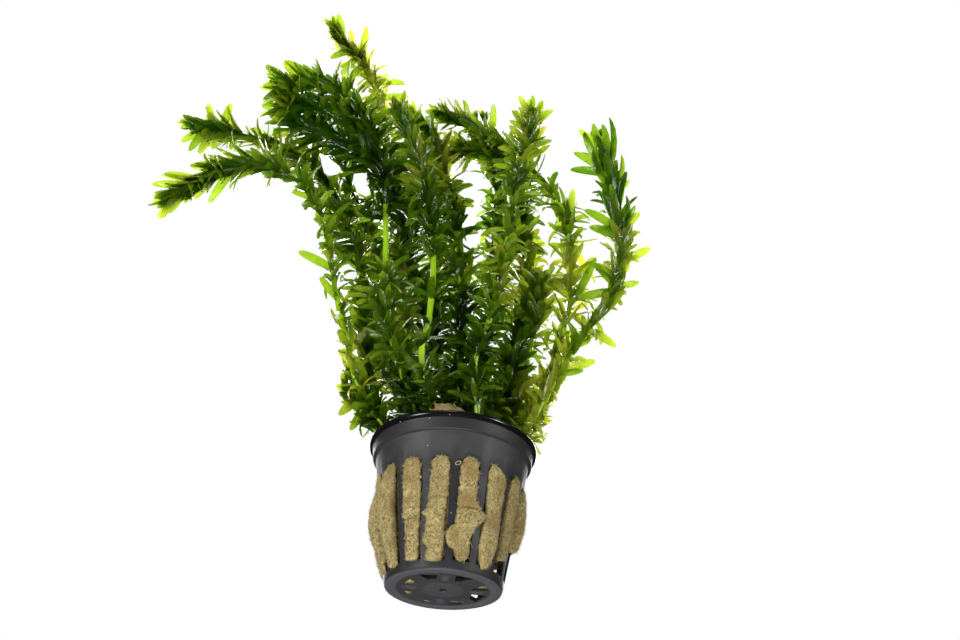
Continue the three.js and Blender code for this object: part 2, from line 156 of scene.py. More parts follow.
# Share of whorls with five leaves instead of six, the turn from one whorl to the next in radians, and how
# much a leaf's turn and its place along the stem vary
FIVE_LEAVED = 0.6
WHORL_TURN = 0.8
TURN_SCATTER = 0.9
PLACE_SCATTER = 1.2

# How much a whorl droops or rises in degrees, and how leaves hang, sway and twist
WHORL_DROOP = 50
LEAF_HANG = 0.14
LEAF_SWAY = 1.2
LEAF_TWIST = 2.0

# Length and width of leaves at a tip, how much longer they are a little below it, and how much shorter and
# narrower lower down
LEAF_LENGTH = 8.8
LENGTH_GAIN = 1.4
LENGTH_LOSS = 1.2
LEAF_WIDTH = 2.8
WIDTH_LOSS = 0.5
BOWED_WIDTH = 3.3
BOWED_SAG = 0.11

# Leaves stand off their stem by these angles from the closest one to the widest, at a tip and lower down
TIP_SPREAD = ((0, 0.55, 0.9, 1), (3, 13, 26, 60))
FOOT_SPREAD = ((0, 0.3, 0.6, 0.85, 1), (10, 32, 62, 100, 150))
LEAF_CURLS = ((0, 0.2, 0.6, 0.85, 1), (-50, 5, 50, 100, 170))

STEMS = {
    "stem_left_arch": [
        (-14, -6, 41), (-31, -12, 60), (-38, -16, 77), (-44, -18, 96), (-49, -20, 115),
        (-58, -22, 134), (-72, -24, 144), (-85, -27, 140), (-93, -30, 130), (-99, -32, 122)],
    "stem_upper_left": [
        (-12, 4, 41), (-27, 2, 88), (-35, 0, 107), (-43, -4, 126), (-52, -8, 149),
        (-66, -11, 162), (-82, -14, 166), (-94, -17, 166), (-101, -19, 165)],
    "stem_left_bare": [
        (-7, -13, 41), (-23, -18, 77), (-27, -21, 99), (-29, -23, 119), (-32, -25, 141),
        (-38, -27, 159), (-47, -29, 174), (-59, -31, 180), (-69, -33, 176)],
    "stem_top": [
        (-4, 5, 41), (-19, 6, 89), (-23, 8, 116), (-28, 10, 151), (-35, 9, 187),
        (-43, 6, 214), (-49, 1, 226), (-54, -6, 227), (-59, -13, 227.5)],
    "stem_centre_bare": [
        (-2, -15, 41), (-12, -21, 67), (-11, -25, 82), (-11, -27, 100),
        (-13, -28, 119), (-18, -27, 143), (-24, -25, 162), (-29, -23, 177)],
    "stem_centre_right": [
        (6, -8, 41), (0, -12, 79), (-1, -14, 98), (-4, -14, 124), (-9, -13, 149),
        (-14, -12, 169), (-20, -12, 180)],
    "stem_right_arch": [
        (17, 2, 41), (29, 4, 73), (34, 4, 91), (39, 4, 112), (39, 4, 132),
        (37, 3, 154), (27, 1, 171), (13, -2, 183), (-1, -5, 190), (-10, -8, 191)],
    "stem_right_upright": [
        (9, -14, 41), (5, -22, 67), (9, -27, 83), (12, -29, 101), (14, -30, 122),
        (16, -30, 145), (19, -29, 162), (20, -28, 173)],
    "stem_right_tall": [
        (18, -7, 41), (31, -12, 67), (41, -15, 86), (51, -17, 105), (54.5, -18, 124),
        (53, -17, 143), (50.5, -15, 162), (48.6, -13, 177)],
    "stem_right_inner": [
        (12, 8, 41), (21, 14, 93), (24, 18, 121), (23, 20, 149), (20, 20, 175), (16, 18, 197)],
    "stem_back_left": [
        (-9, 14, 41), (-22, 24, 96), (-32, 31, 127), (-41, 35, 160), (-52, 37, 189),
        (-61, 37, 210), (-72, 35, 220), (-82, 33, 219)],
    "stem_back_centre": [
        (2, 16, 41), (-9, 27, 103), (-10, 34, 141), (-14, 37, 181), (-22, 37, 215), (-29, 36, 234)],
    "stem_back_right": [
        (8, 15, 41), (8, 26, 99), (11, 32, 137), (12, 35, 176), (9, 35, 208), (3, 33, 228)],
    "stem_short_left": [(-17, 0, 41), (-27, -3, 53), (-32, -5, 58), (-35, -7, 62)],
    "stem_short_right": [(18, -1, 41), (24, -4, 57), (29, -6, 65), (31, -8, 71)],
}

# Leafy shoots that branch off a stem
SIDE_SHOOTS = {
    "stem_left_arch": [
        [(-16, -5, 44), (-24, -6, 54), (-29, -7, 64), (-31, -7, 75), (-33, -7, 85), (-35, -6, 93)]],
    "stem_left_bare": [
        [(-40, -27, 161), (-50, -27, 169), (-58, -27, 173), (-65, -27, 172.5), (-69, -28, 170.5)],
        [(-33, -25, 143), (-42, -22, 156), (-50, -20, 162), (-57, -20, 166), (-63, -20, 168.5),
         (-68, -20, 170)]],
    "stem_centre_right": [[(7, -7, 46), (12, -3, 60), (16, 1, 75), (19, 5, 88), (21, 7, 99), (22, 8, 108)]],
    "stem_right_arch": [[(27, 1, 171), (14, 0, 177), (4, -2, 179.5), (-3, -4, 178), (-8, -5, 172)]],
    "stem_right_inner": [[(16, 6, 52), (19, 4, 66), (22, 7, 80), (25, 8, 94), (27, 8, 109), (28, 8, 123)]],
    "stem_top": [[(-27, 9, 150), (-35, 6, 171), (-45, 2, 185), (-53, -3, 192), (-61, -8, 193)]],
    "stem_upper_left": [[(-35, 1, 108), (-45, 4, 137), (-56, 6, 161), (-64, 4, 170), (-73, 0, 171)]],
    "stem_back_centre": [[(-9, 25, 102), (-15, 22, 122), (-23, 18, 143), (-23, 16, 168)]],
}

# How much longer, wider spread and closer set than usual a stem's leaves are, and how far from its tip they
# lie close
STEM_LOOKS = {
    "stem_left_arch": (1.35, 0.9, 1.12, 50),
    "stem_upper_left": (1.2, 1.2, 1.1, 28),
    "stem_left_bare": (1.25, 1.8, 1.4, 30),
    "stem_top": (1.0, 0.9, 0.85, 20),
    "stem_right_arch": (1.1, 1.5, 1.1, 34),
    "stem_right_upright": (1.0, 1.5, 0.9, 20),
    "stem_right_tall": (1.15, 0.5, 1.1, 70),
    "stem_centre_right": (1.0, 1.0, 1.2, 26),
    "stem_right_inner": (1.0, 1.2, 1.3, 26),
    "stem_back_left": (1.1, 2.2, 1.9, 30),
    "stem_back_centre": (1.1, 1.5, 1.6, 18),
    "stem_back_right": (1.1, 1.2, 1.8, 30),
}
USUAL_LOOK = (1.0, 1.0, 1.0, 26)

# Heights between which a stem has lost part of its leaves, and the share that is left
THINNED = {
    "stem_left_arch": (44, 118, 0.8),
    "stem_right_tall": (44, 100, 0.68),
    "stem_right_arch": (44, 140, 0.8),
    "stem_back_centre": (200, 240, 0.5),
    "stem_short_left": (44, 64, 0.7),
    "stem_short_right": (44, 64, 0.45),
}

# Leaves past the frame's box or the bunch's outline are shortened in steps; stubs are left out, and so are
# leaves that come too close to the pot
FIT_ROUNDS = 8
FIT_STEP = 0.88
FRAME_MARGIN = 0.05
SHORTEST_LEAF = 4.5
RIM_CLEARANCE = 0.6
TOP_CLEARANCE = 1.2

# Stems whose leaves are young and pale, and by how much
PALE = {"stem_top": 0.5, "stem_right_upright": 0.3, "stem_right_arch": 0.2, "stem_upper_left": 0.15}

# Painted light and shade on the leaves, as seen on an upright plane: where leaves are painted pale, standing
# in for light that shines through them, or dark below zero, standing in for the shade within the bunch: X and
# Z there, reach, how much
TONE_PLANE = -10
LIGHT_AND_SHADE_SPOTS = (
    ((-45, 216), 15, 0.3), ((-31, 206), 17, 0.9), ((-30, 187), 12, 0.5), ((-70, 224), 14, 0.6),
    ((-86, 198), 14, 0.9), ((16, 190), 15, 0.7), ((-12, 163), 15, 0.8), ((29, 120), 12, 0.4),
    ((42, 108), 28, 0.4), ((30, 64), 17, 0.8), ((58, 123), 14, 0.5), ((-104, 146), 26, 0.5),
    ((-37, 70), 18, 0.9), ((-78, 188), 9, 0.8), ((-64, 166), 12, 0.4), ((-59, 182), 12, -0.2),
    ((-38, 156), 14, -0.5), ((-6, 84), 24, -0.35), ((-2, 56), 20, -0.4), ((4, 92), 14, -0.6),
    ((15, 146), 16, -0.4), ((42, 156), 10, -0.4), ((-18, 57), 10, -0.3), ((-30, 155), 13, -0.4),
    ((-28, 142), 13, -0.55), ((-18, 128), 14, -0.5), ((-44, 172), 14, -0.4), ((10, 79), 13, -0.5),
    ((50, 150), 12, -0.6), ((23, 97), 12, 0.7), ((24, 54), 12, 0.5), ((-13, 48), 10, -0.5),
    ((-3, 158), 11, 0.5),
)

# The bunch's outline: how far left and right its leaves spread, by height, up to where the left stems arch
# over, and the line above which the arched tips' leaves stay
ARCH_START = -64
ARCH_PLACES = (-108, -98, -85, -70)
ARCH_LOW = (112, 119, 126, 133)
REACH_HEIGHTS = (44, 50, 58, 66, 74, 82, 92, 100, 109, 118, 126, 134, 141, 147)
REACH_LEFT = (-30, -36, -39, -39, -40.5, -43, -46, -49, -51, -52.5, -56, -60, -66, -115)
REACH_RIGHT = (28, 29.5, 32, 34, 40, 47, 51, 54, 59, 61, 61, 61, 61, 61)

# Gaps between the stems that one can see through: X and Z on the tone plane, and how far each reaches
GAPS = (
    ((-54, 158), 3.6), ((-45, 152), 4.0), ((-40, 146), 3.2), ((7, 153), 3.4), ((29, 166), 3.5),
    ((38, 157), 3.1), ((43, 83), 3.1), ((36, 67), 2.7), ((-41, 110), 2.5), ((60, 120), 2.6),
    ((-8, 163), 2.3), ((-46, 101), 2.1),
)

# Heights between which a stem shows bare
BARE = {
    "stem_left_bare": ((101, 124),),
    "stem_centre_bare": ((67, 73), (76, 88), (92, 105)),
    "stem_right_inner": ((84, 98),),
}

# Leaves that stand out of the bunch, each from its root to its tip. A number tells a broad, dark leaf that
# bows out to the right, or to the left below zero
SINGLE_LEAVES = {
    "stem_top": [
        ((-51, -2, 227), (-49, -14, 235)), ((-55, -7, 227), (-62, -12, 216)),
        ((-58, -12, 227.5), (-66.5, -18, 232.5)), ((-58, -12, 227.5), (-63, -20, 233)),
        ((-58, -12, 227.5), (-60.5, -20, 234)),
        ((-45, 7, 222), (-32, 6, 224)), ((-42, 8, 214), (-30, 7, 217)),
        ((-54, -3, 225), (-58, -6, 211)), ((-52, 0, 224), (-56, -4, 209)), ((-47, 2, 220), (-51, -2, 206))],
    "stem_centre_bare": [
        ((-28, -24, 173), (-28, -29, 178)), ((-26, -24, 167), (-25, -30, 172))],
    "stem_upper_left": [
        ((-99, -18, 165), (-101, -25, 172)), ((-96, -18, 166), (-93, -24, 174)),
        ((-98, -18, 166), (-104, -13, 158)), ((-94, -17, 166), (-102, -14, 160)),
        ((-101, -19, 165), (-112, -23, 165)), ((-101, -19, 165), (-110, -17, 159)),
        ((-101, -19, 165), (-105, -20, 152)), ((-99, -18, 165), (-101, -20, 151)),
        ((-90, -16, 166), (-91, -18, 156)), ((-95, -17, 166), (-97, -20, 154))],
    "stem_left_arch": [
        ((-85, -27, 140), (-93, -20, 128)), ((-94, -30, 129), (-106, -34, 128)),
        ((-97, -31, 125), (-109, -34, 123)), ((-99, -32, 122), (-108, -31, 117)),
        ((-99, -32, 122), (-106, -28, 113)), ((-98, -32, 123), (-108, -32, 119)),
        ((-83, -27, 141), (-100, -29, 137)), ((-46, -18, 104), (-58, -22, 108)),
        ((-57, -22, 132), (-64, -24, 133)), ((-43, -18, 92), (-49, -23, 97)),
        ((-99, -32, 122), (-103, -33, 109)), ((-98, -31, 123), (-102, -30, 114))],
    "stem_left_bare": [
        ((-69, -33, 176), (-80, -34, 174)), ((-69, -33, 176), (-80, -29, 169)),
        ((-68, -33, 176), (-78, -39, 179)), ((-65, -32, 178), (-73, -39, 182)),
        ((-68, -33, 176), (-80, -36, 183), -0.4), ((-60, -31, 180), (-73, -38, 184), 0.2),
        ((-69, -33, 176), (-78, -36, 165))],
    "stem_short_left": [
        ((-34, -6, 61), (-40, -9, 64)), ((-34, -6, 60), (-37.5, -12, 51)),
        ((-31, -5, 57), (-33.5, -10, 47))],
    "stem_right_tall": [
        ((41, -15, 90), (52, -16, 82)), ((34, -13, 74), (45, -16, 76)), ((33, -13, 72), (41, -16, 72)),
        ((44, -15, 91), (53, -20, 106), 0.5), ((49, -16, 101), (55, -20, 113), 0.5),
        ((48, -16, 108), (44, -20, 114)), ((47, -16, 106), (39, -18, 100)),
        ((54, -18, 131), (41, -21, 137), 0.0), ((54, -18, 128), (43, -19, 131), 0.0),
        ((52, -18, 117), (64, -23, 120)),
        ((48, -17, 107), (60, -20, 107)), ((42, -16, 94), (54, -23, 101)),
        ((55, -16, 161), (51, -21, 185), 0.5), ((52, -17, 162), (48, -23, 179), 0.2),
        ((50, -18, 162), (44, -25, 177), -0.2), ((49, -17, 160), (41, -22, 175), -0.6),
        ((49, -18, 163), (45, -26, 170), 0.0), ((52, -18, 152), (44, -24, 164), -0.8),
        ((54, -18, 133), (48, -24, 148), -0.8), ((57, -17, 130), (56, -22, 145), 0.8),
        ((54, -18, 132), (50, -26, 146), -0.2), ((55, -18, 143), (51, -26, 155), 0.2),
        ((54, -18, 150), (55, -22, 165), 0.8), ((53, -18, 150), (49, -24, 164), -0.2),
        ((44, -20, 173), (39, -22, 176)), ((48, -18, 161), (37, -22, 164), 0.0),
        ((48, -18, 160), (36, -20, 157), 0.0),
        ((55, -17, 149), (58, -20, 154)), ((57, -17, 131), (61, -22, 137))],
    "stem_right_arch": [
        ((38, 3, 152), (39, -5, 161)), ((39, 4, 122), (47, -3, 130)), ((39, 4, 112), (47, -8, 126)),
        ((-10, -8, 191), (-21, -10, 192)), ((-3, -6, 191), (-6, -13, 197)),
        ((6, -4, 187), (6, -13, 196))],
    "stem_right_upright": [
        ((20, -28, 173), (15, -34, 179)), ((20, -28, 173), (20, -35, 179)),
        ((20, -28, 173), (24, -34, 178)), ((20, -28, 172), (28, -32, 175)),
        ((19, -29, 166), (12, -31, 169))],
    "stem_short_right": [((29, -6, 66), (33, -6, 65))],
}

# Outlines of the wool at the slots that the photograph shows: height, left and right edge in degrees
WOOL_OUTLINES = {
    -3: ((1.6, -74, -71.5), (5, -77.5, -70), (8, -80.5, -69), (14, -84.5, -68), (20, -86, -67.5),
         (30, -84, -69), (34.3, -82, -71)),
    -2: ((2, -59, -48), (5, -61.5, -47.5), (12, -64.5, -48), (20, -66.5, -48.6), (27, -65.5, -47.5),
         (31, -62, -47), (33, -57, -46.8), (34, -51.5, -47.3)),
    -1: ((2.5, -37.5, -25), (8, -37, -24.5), (14.6, -37.3, -24.3), (15.6, -39.8, -23.4), (25, -39, -23.3),
         (33.8, -38, -24)),
    0: ((2, -17.5, -4.5), (4, -18, -3.5), (5.5, -15.8, -3), (8, -21, -2.3), (10, -19.5, -2.5), (14, -18, -3),
        (15.2, -19, -3), (16.2, -22.5, -3), (17.6, -17.5, -2.5), (25, -16, -1.5), (33.7, -14.5, -2)),
    1: ((2.6, 10, 17), (4.6, 8.4, 19.5), (5.8, 6.4, 20), (6.4, 2.4, 20), (7.6, 0, 20), (9.2, -1, 20.5),
        (11, -0.6, 21.5), (12.4, 2.2, 23), (13, 6, 24), (15.6, 6.2, 30.5), (17, 6.6, 32), (18.6, 6.6, 27),
        (21, 6.6, 21.5), (30, 7, 20.8), (34, 8.5, 19)),
    2: ((1.8, 34.5, 38.5), (3, 33.5, 41.5), (4.5, 32.5, 43.5), (8, 29.5, 46.8), (10, 29.8, 48),
        (15, 31, 46.5), (20, 31.5, 45.4), (29, 30, 45.6), (31, 29.4, 43.5), (32.4, 29.8, 38.5),
        (33.6, 30.6, 34)),
    3: ((7, 59, 63), (9, 58, 66), (14, 56.5, 67.5), (22, 55, 68.5), (28, 54.5, 68.5), (33.4, 55.5, 66)),
    4: ((12.5, 81, 85), (15, 81.5, 88), (24, 81, 91), (29, 80.5, 89), (32, 80.5, 86), (33.4, 81, 83)),
}

# Slots whose foot the wool leaves open, with the height at which it starts
WOOL_FEET = {5: 15.0, 6: 12.5, 7: 9.5}
WOOL_HOLLOW_TOP = 17.0

# How far the wool stands out of each slot, counted from the first slot toward +X
WOOL_BULGES = (0.9, 1.0, 1.1, 1.5, 2, 1.0, 1.2, 1, 1.2, 1, 1.4, 1.8, 2.4, 3, 2.4, 1.0)

# The same at the slots near the sides, by height, and the heights at which the felt is broken across
WOOL_SWELLS = {
    -4: ((3, 0.4), (8, 1.6), (14, 2.4), (19, 2.4), (23, 1.3), (27, 0.4), (34, 0.2)),
    -3: ((2, 0.2), (5, 0.9), (8.7, 2.1), (12.8, 3.4), (16.5, 3.8), (22, 3.3), (25, 2.3), (28, 1.2),
         (33, 0.3)),
    -2: ((2, 0.9), (8, 1.8), (15, 2.7), (20, 2.8), (26, 2.0), (31, 1.2), (34.3, 0.6)),
    3: ((7, 0.5), (12, 0.7), (20, 0.7), (28, 0.6), (34.3, 0.4)),
    4: ((11.3, 1.3), (15.3, 2.2), (19.7, 2.6), (26, 2.1), (30, 1.2), (33.4, 0.3)),
}

# How rough the felt is in mm, how torn its edges in degrees, and the share of both where it is pressed smooth
WOOL_FUZZ = 0.27
WOOL_TEAR = 1.3
WOOL_PRESSED = {-2: 0.5, 2: 0.45, 3: 0.3, 4: 0.3}
WOOL_CREASES = {-1: (15.1,), 0: (21.0,), 1: (18.4,)}
LUMP_CENTRE = (-1.8, -17.8, 49.6)
LUMP_SIZE = (6.6, 3.4, 4.6)
LUMP_TILT = -0.2
WAD_START = FLOOR + 0.35
WAD_CLEARANCE = 0.4
WAD_STEPS = 96
WAD_DENT = 0.018
HOLLOW_HEIGHT = 8.5
CROWN_LOW = 41
CROWN_RADIUS = 23.5
CROWN_SWELL = 1.6
LOBE_DEPTH = 3.0

# Loose strands, shortest and longest, thinnest and thickest, on felt that stands out of the wall by a reach
FIBRES = 9000
FIBRE_LENGTHS = (0.5, 2.0)
FIBRE_RADII = (0.022, 0.04)
FIBRE_REACH = 0.25

# Wool pressed into holes of the base: outline and the height down to which it hangs
WOOL_PLUGS = (
    (BASE_HOLES[2], 0.4), (BASE_HOLES[3], 0.4), (BASE_HOLES[4], 0.4),
    (((8.5, -1.2), (13.7, -1.4), (13.2, -3.6), (9.1, -2.7)), 1.0),
)
PLUG_TOP = FLOOR + 1.5

# Crumbs of fibre stuck to the wall: degrees from the front, height and distance from the axis
CRUMBS = (
    (-40, 45.7, 26.5), (-17.5, 45.2, 26.2), (-4, 45.9, 27.0), (-19, 36.9, 24.1), (2, 16.4, 20.8),
    (6, 14.3, 20.4),
)
CRUMB_RADIUS = 0.17
LOOP_PLACE = (4.4, 31.4, 23.6)
LOOP_RADIUS = 0.52
LOOP_STRETCH = 1.7
LOOP_TILT = 32
LOOP_STRAND = 0.06


def linear(code):
    """An sRGB hex colour as linear red, green, blue and alpha."""
    parts = [int(code[i:i + 2], 16) / 255 for i in (1, 3, 5)]
    return [p / 12.92 if p <= 0.04045 else ((p + 0.055) / 1.055) ** 2.4 for p in parts] + [1.0]


def add(tree, kind, inputs=None, stops=(), **settings):
    """Adds a node with its settings. An input takes a value, a hex colour, a node or one of a node's outputs.

    stops are the places and hex colours of a ramp; the first is at 0 and the last at 1.
    """
    made = tree.nodes.new(kind)
    for name, value in settings.items():
        setattr(made, name, value)
    for socket, value in (inputs or {}).items():
        if isinstance(value, bpy.types.Node):
            value = next(output for output in value.outputs if output.enabled)
        if isinstance(value, bpy.types.NodeSocket):
            tree.links.new(value, made.inputs[socket])
        else:
            made.inputs[socket].default_value = linear(value) if isinstance(value, str) else value
    for place, code in stops[1:-1]:
        made.color_ramp.elements.new(place).color = linear(code)
    if stops:
        made.color_ramp.elements[0].color = linear(stops[0][1])
        made.color_ramp.elements[-1].color = linear(stops[-1][1])
    return made


def new_material(name):
    material = bpy.data.materials.new(name)
    material.use_nodes = True
    material.node_tree.nodes.clear()
    return material, material.node_tree


def moulded_polypropylene():
    """Injection-moulded polypropylene: dense black, satin, with faint flow marks, dust and a dry bloom."""
    material, tree = new_material("moulded_polypropylene")
    place = add(tree, "ShaderNodeTexCoord").outputs["Object"]
    height = add(tree, "ShaderNodeSeparateXYZ", {0: place}).outputs["Z"]
    cloud = add(tree, "ShaderNodeTexNoise", {"Vector": place, "Scale": 120.0, "Detail": 4.0})
    grain = add(tree, "ShaderNodeTexNoise", {"Vector": place, "Scale": 1600.0, "Detail": 2.0})
    bloom = add(tree, "ShaderNodeMapRange", {0: cloud, 1: 0.35, 2: 0.75})
    dusty = add(tree, "ShaderNodeMix", {"Factor": bloom, "A": "#2f2f30", "B": "#3b3b3c"}, data_type="RGBA")
    # Bands over the dark lower wall, whose darkness is painted shade standing in for the wool's shadow on the
    # wall between and below the slots, each with the heights at which it starts and is full: the dusty upper
    # wall, the darker collar, the lighter underside that the pot stands on, partly wear and partly painted
    # light standing in for light from below, which leaves the pit and the recess darker as painted shade, and
    # the shiny rim, glossier and painted near-black as painted shade for the dark that it reflects
    # Painted shade: the colour of the lower wall, standing in for the wool's shadow
    colour = "#242425"
    for start, full, finish in (
            (30, 37, dusty), (41.5, 42.1, "#262627"), (0.4, 0.05, "#545456"), (45.3, 45.7, "#0c0c0f")):
        band = add(tree, "ShaderNodeMapRange", {0: height, 1: start * MM, 2: full * MM})
        colour = add(tree, "ShaderNodeMix", {"Factor": band, "A": colour, "B": finish}, data_type="RGBA")
    satin = add(tree, "ShaderNodeMapRange", {0: cloud, 1: 0.3, 2: 0.7, 3: 0.46, 4: 0.6})
    rough = add(tree, "ShaderNodeMix", {"Factor": band, "A": satin, "B": 0.2})
    bump = add(tree, "ShaderNodeBump", {"Height": grain, "Strength": 0.25, "Distance": 0.08 * MM})
    shader = add(tree, "ShaderNodeBsdfPrincipled", {
        "Base Color": colour, "Roughness": rough, "Normal": bump, "IOR": 1.49, "Specular IOR Level": 0.3})
    add(tree, "ShaderNodeOutputMaterial", {"Surface": shader})
    return material


def rock_wool_strand():
    """Single mineral fibres, glassy and pale, some stained by the damp."""
    material, tree = new_material("rock_wool_strand")
    tone = add(tree, "ShaderNodeAttribute", attribute_name="fibre_tone").outputs["Fac"]
    colour = add(tree, "ShaderNodeMix", {"Factor": tone, "A": "#7e6c3a", "B": "#d0c28c"}, data_type="RGBA")
    shader = add(tree, "ShaderNodeBsdfPrincipled", {"Base Color": colour, "Roughness": 0.5, "IOR": 1.5})
    add(tree, "ShaderNodeOutputMaterial", {"Surface": shader})
    return material


def rock_wool_felt():
    """Matted mineral fibre, damp and dusty: a khaki felt with paler loose strands and painted shade in the
    hollows between them.
    """
    material, tree = new_material("rock_wool_felt")
    place = add(tree, "ShaderNodeTexCoord").outputs["Object"]
    warp = add(tree, "ShaderNodeTexNoise", {"Vector": place, "Scale": 260.0, "Detail": 3.0})
    bent = add(tree, "ShaderNodeVectorMath", {
        0: warp.outputs["Color"], 1: (4 * MM, 4 * MM, 4 * MM)}, operation="MULTIPLY")
    moved = add(tree, "ShaderNodeVectorMath", {0: place, 1: bent}, operation="ADD")
    strands = add(tree, "ShaderNodeTexNoise", {
        "Vector": moved, "Scale": 1500.0, "Detail": 4.0, "Distortion": 1.5})
    patches = add(tree, "ShaderNodeTexNoise", {"Vector": place, "Scale": 160.0, "Detail": 3.0})
    # Painted shade: the felt turns dark where the strands' noise sinks the bump
    hollow_shade = add(tree, "ShaderNodeMapRange", {0: strands, 1: 0.36, 2: 0.62})
    tone = add(tree, "ShaderNodeMix", {"Factor": hollow_shade, "A": "#5e4d22", "B": "#c2b27a"}, data_type="RGBA")
    warm = add(tree, "ShaderNodeMapRange", {0: patches, 1: 0.42, 2: 0.66, 4: 0.75})
    colour = add(tree, "ShaderNodeMix", {"Factor": warm, "A": tone, "B": "#80693a"}, data_type="RGBA")
    bump = add(tree, "ShaderNodeBump", {"Height": strands, "Strength": 0.9, "Distance": 0.4 * MM})
    shader = add(tree, "ShaderNodeBsdfPrincipled", {
        "Base Color": colour, "Roughness": 0.95, "Normal": bump, "IOR": 1.45})
    add(tree, "ShaderNodeOutputMaterial", {"Surface": shader})
    return material


def waterweed_leaf():
    """Wet waterweed leaf, two cells thick: glossy, dark where leaves overlap, yellow-green against light."""
    material, tree = new_material("waterweed_leaf")
    # The leaves' own tone, which also carries painted light and shade at some spots and at the tips
    tone = add(tree, "ShaderNodeAttribute", attribute_name="leaf_tone_and_light").outputs["Fac"]
    age = add(tree, "ShaderNodeAttribute", attribute_name="leaf_age").outputs["Fac"]
    place = add(tree, "ShaderNodeTexCoord").outputs["Object"]
    blotch = add(tree, "ShaderNodeTexNoise", {"Vector": place, "Scale": 260.0, "Detail": 3.0})
    mixed = add(tree, "ShaderNodeMath", {0: tone, 1: blotch}, operation="ADD")
    share = add(tree, "ShaderNodeMapRange", {0: mixed, 1: -0.1, 2: 1.9})
    face = add(tree, "ShaderNodeValToRGB", {"Fac": share}, stops=(
        (0, "#0a1501"), (0.3, "#122202"), (0.55, "#1f3204"), (0.8, "#303c0a"), (1, "#40401c")))
    young = add(tree, "ShaderNodeMix", {"Factor": age, "A": "#133204", "B": face}, data_type="RGBA")
    through = add(tree, "ShaderNodeValToRGB", {"Fac": share}, stops=(
        (0, "#546c1e"), (0.3, "#7b9836"), (0.65, "#a9bb54"), (1, "#c6ca68")))
    ripple = add(tree, "ShaderNodeTexNoise", {"Vector": place, "Scale": 1100.0, "Detail": 2.0})
    bump = add(tree, "ShaderNodeBump", {"Height": ripple, "Strength": 0.6, "Distance": 0.3 * MM})
    shader = add(tree, "ShaderNodeBsdfPrincipled", {
        "Base Color": young, "Roughness": 0.15, "Normal": bump, "IOR": 1.4, "Specular IOR Level": 0.32})
    lit = add(tree, "ShaderNodeBsdfTranslucent", {"Color": through, "Normal": bump})
    both = add(tree, "ShaderNodeAddShader", {0: shader, 1: lit})
    add(tree, "ShaderNodeOutputMaterial", {"Surface": both})
    return material


def waterweed_stem():
    """Wet, brittle green stem: paler and clearer than the leaves, with faint streaks."""
    material, tree = new_material("waterweed_stem")
    place = add(tree, "ShaderNodeTexCoord").outputs["Object"]
    streak = add(tree, "ShaderNodeTexNoise", {"Vector": place, "Scale": 300.0, "Detail": 3.0})
    colour = add(tree, "ShaderNodeMix", {"Factor": streak, "A": "#5c800c", "B": "#90ae16"}, data_type="RGBA")
    shader = add(tree, "ShaderNodeBsdfPrincipled", {"Base Color": colour, "Roughness": 0.3, "IOR": 1.4})
    lit = add(tree, "ShaderNodeBsdfTranslucent", {"Color": "#a2b634"})
    both = add(tree, "ShaderNodeAddShader", {0: shader, 1: lit})
    add(tree, "ShaderNodeOutputMaterial", {"Surface": both})
    return material


def studio_floor():
    """A plain light floor. It shows from above only, because the camera looks up from below its level."""
    material, tree = new_material("studio_floor")
    behind = add(tree, "ShaderNodeNewGeometry").outputs["Backfacing"]
    matt = add(tree, "ShaderNodeBsdfDiffuse", {"Color": "#f4f4f2"})
    clear = add(tree, "ShaderNodeBsdfTransparent")
    both = add(tree, "ShaderNodeMixShader", {0: behind, 1: matt, 2: clear})
    add(tree, "ShaderNodeOutputMaterial", {"Surface": both})
    return material


def show(name, data):
    """Puts a mesh, a curve, a lamp or a camera into the scene as a new object."""
    made = bpy.data.objects.new(name, data)
    bpy.context.scene.collection.objects.link(made)
    return made


def object_from(bm, name, *materials):
    """A finished bmesh as a new object at the origin."""
    mesh = bpy.data.meshes.new(name)
    bm.to_mesh(mesh)
    bm.free()
    for material in materials:
        mesh.materials.append(material)
    return show(name, mesh)


def add_mesh(bm, mesh):
    """Moves the faces of a mesh into a bmesh."""
    bm.from_mesh(mesh)
    bpy.data.meshes.remove(mesh)


def evaluated_mesh(piece):
    """A new mesh of what the piece shows."""
    graph = bpy.context.evaluated_depsgraph_get()
    return bpy.data.meshes.new_from_object(piece.evaluated_get(graph))


def apply_modifiers(piece):
    """Replaces the piece's mesh by the one that its modifiers make."""
    made = evaluated_mesh(piece)
    piece.modifiers.clear()
    piece.data = made


def turned(degrees):
    """A turn about the pot's axis."""
    return Matrix.Rotation(math.radians(degrees), 4, "Z")


def finish_piece(piece, slot, *nodes):
    """Tells the frame which body carries the piece and hides the imported parts of the nodes that it shows;
    slot is not used.
    """
    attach(piece, "root")
    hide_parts(*nodes)


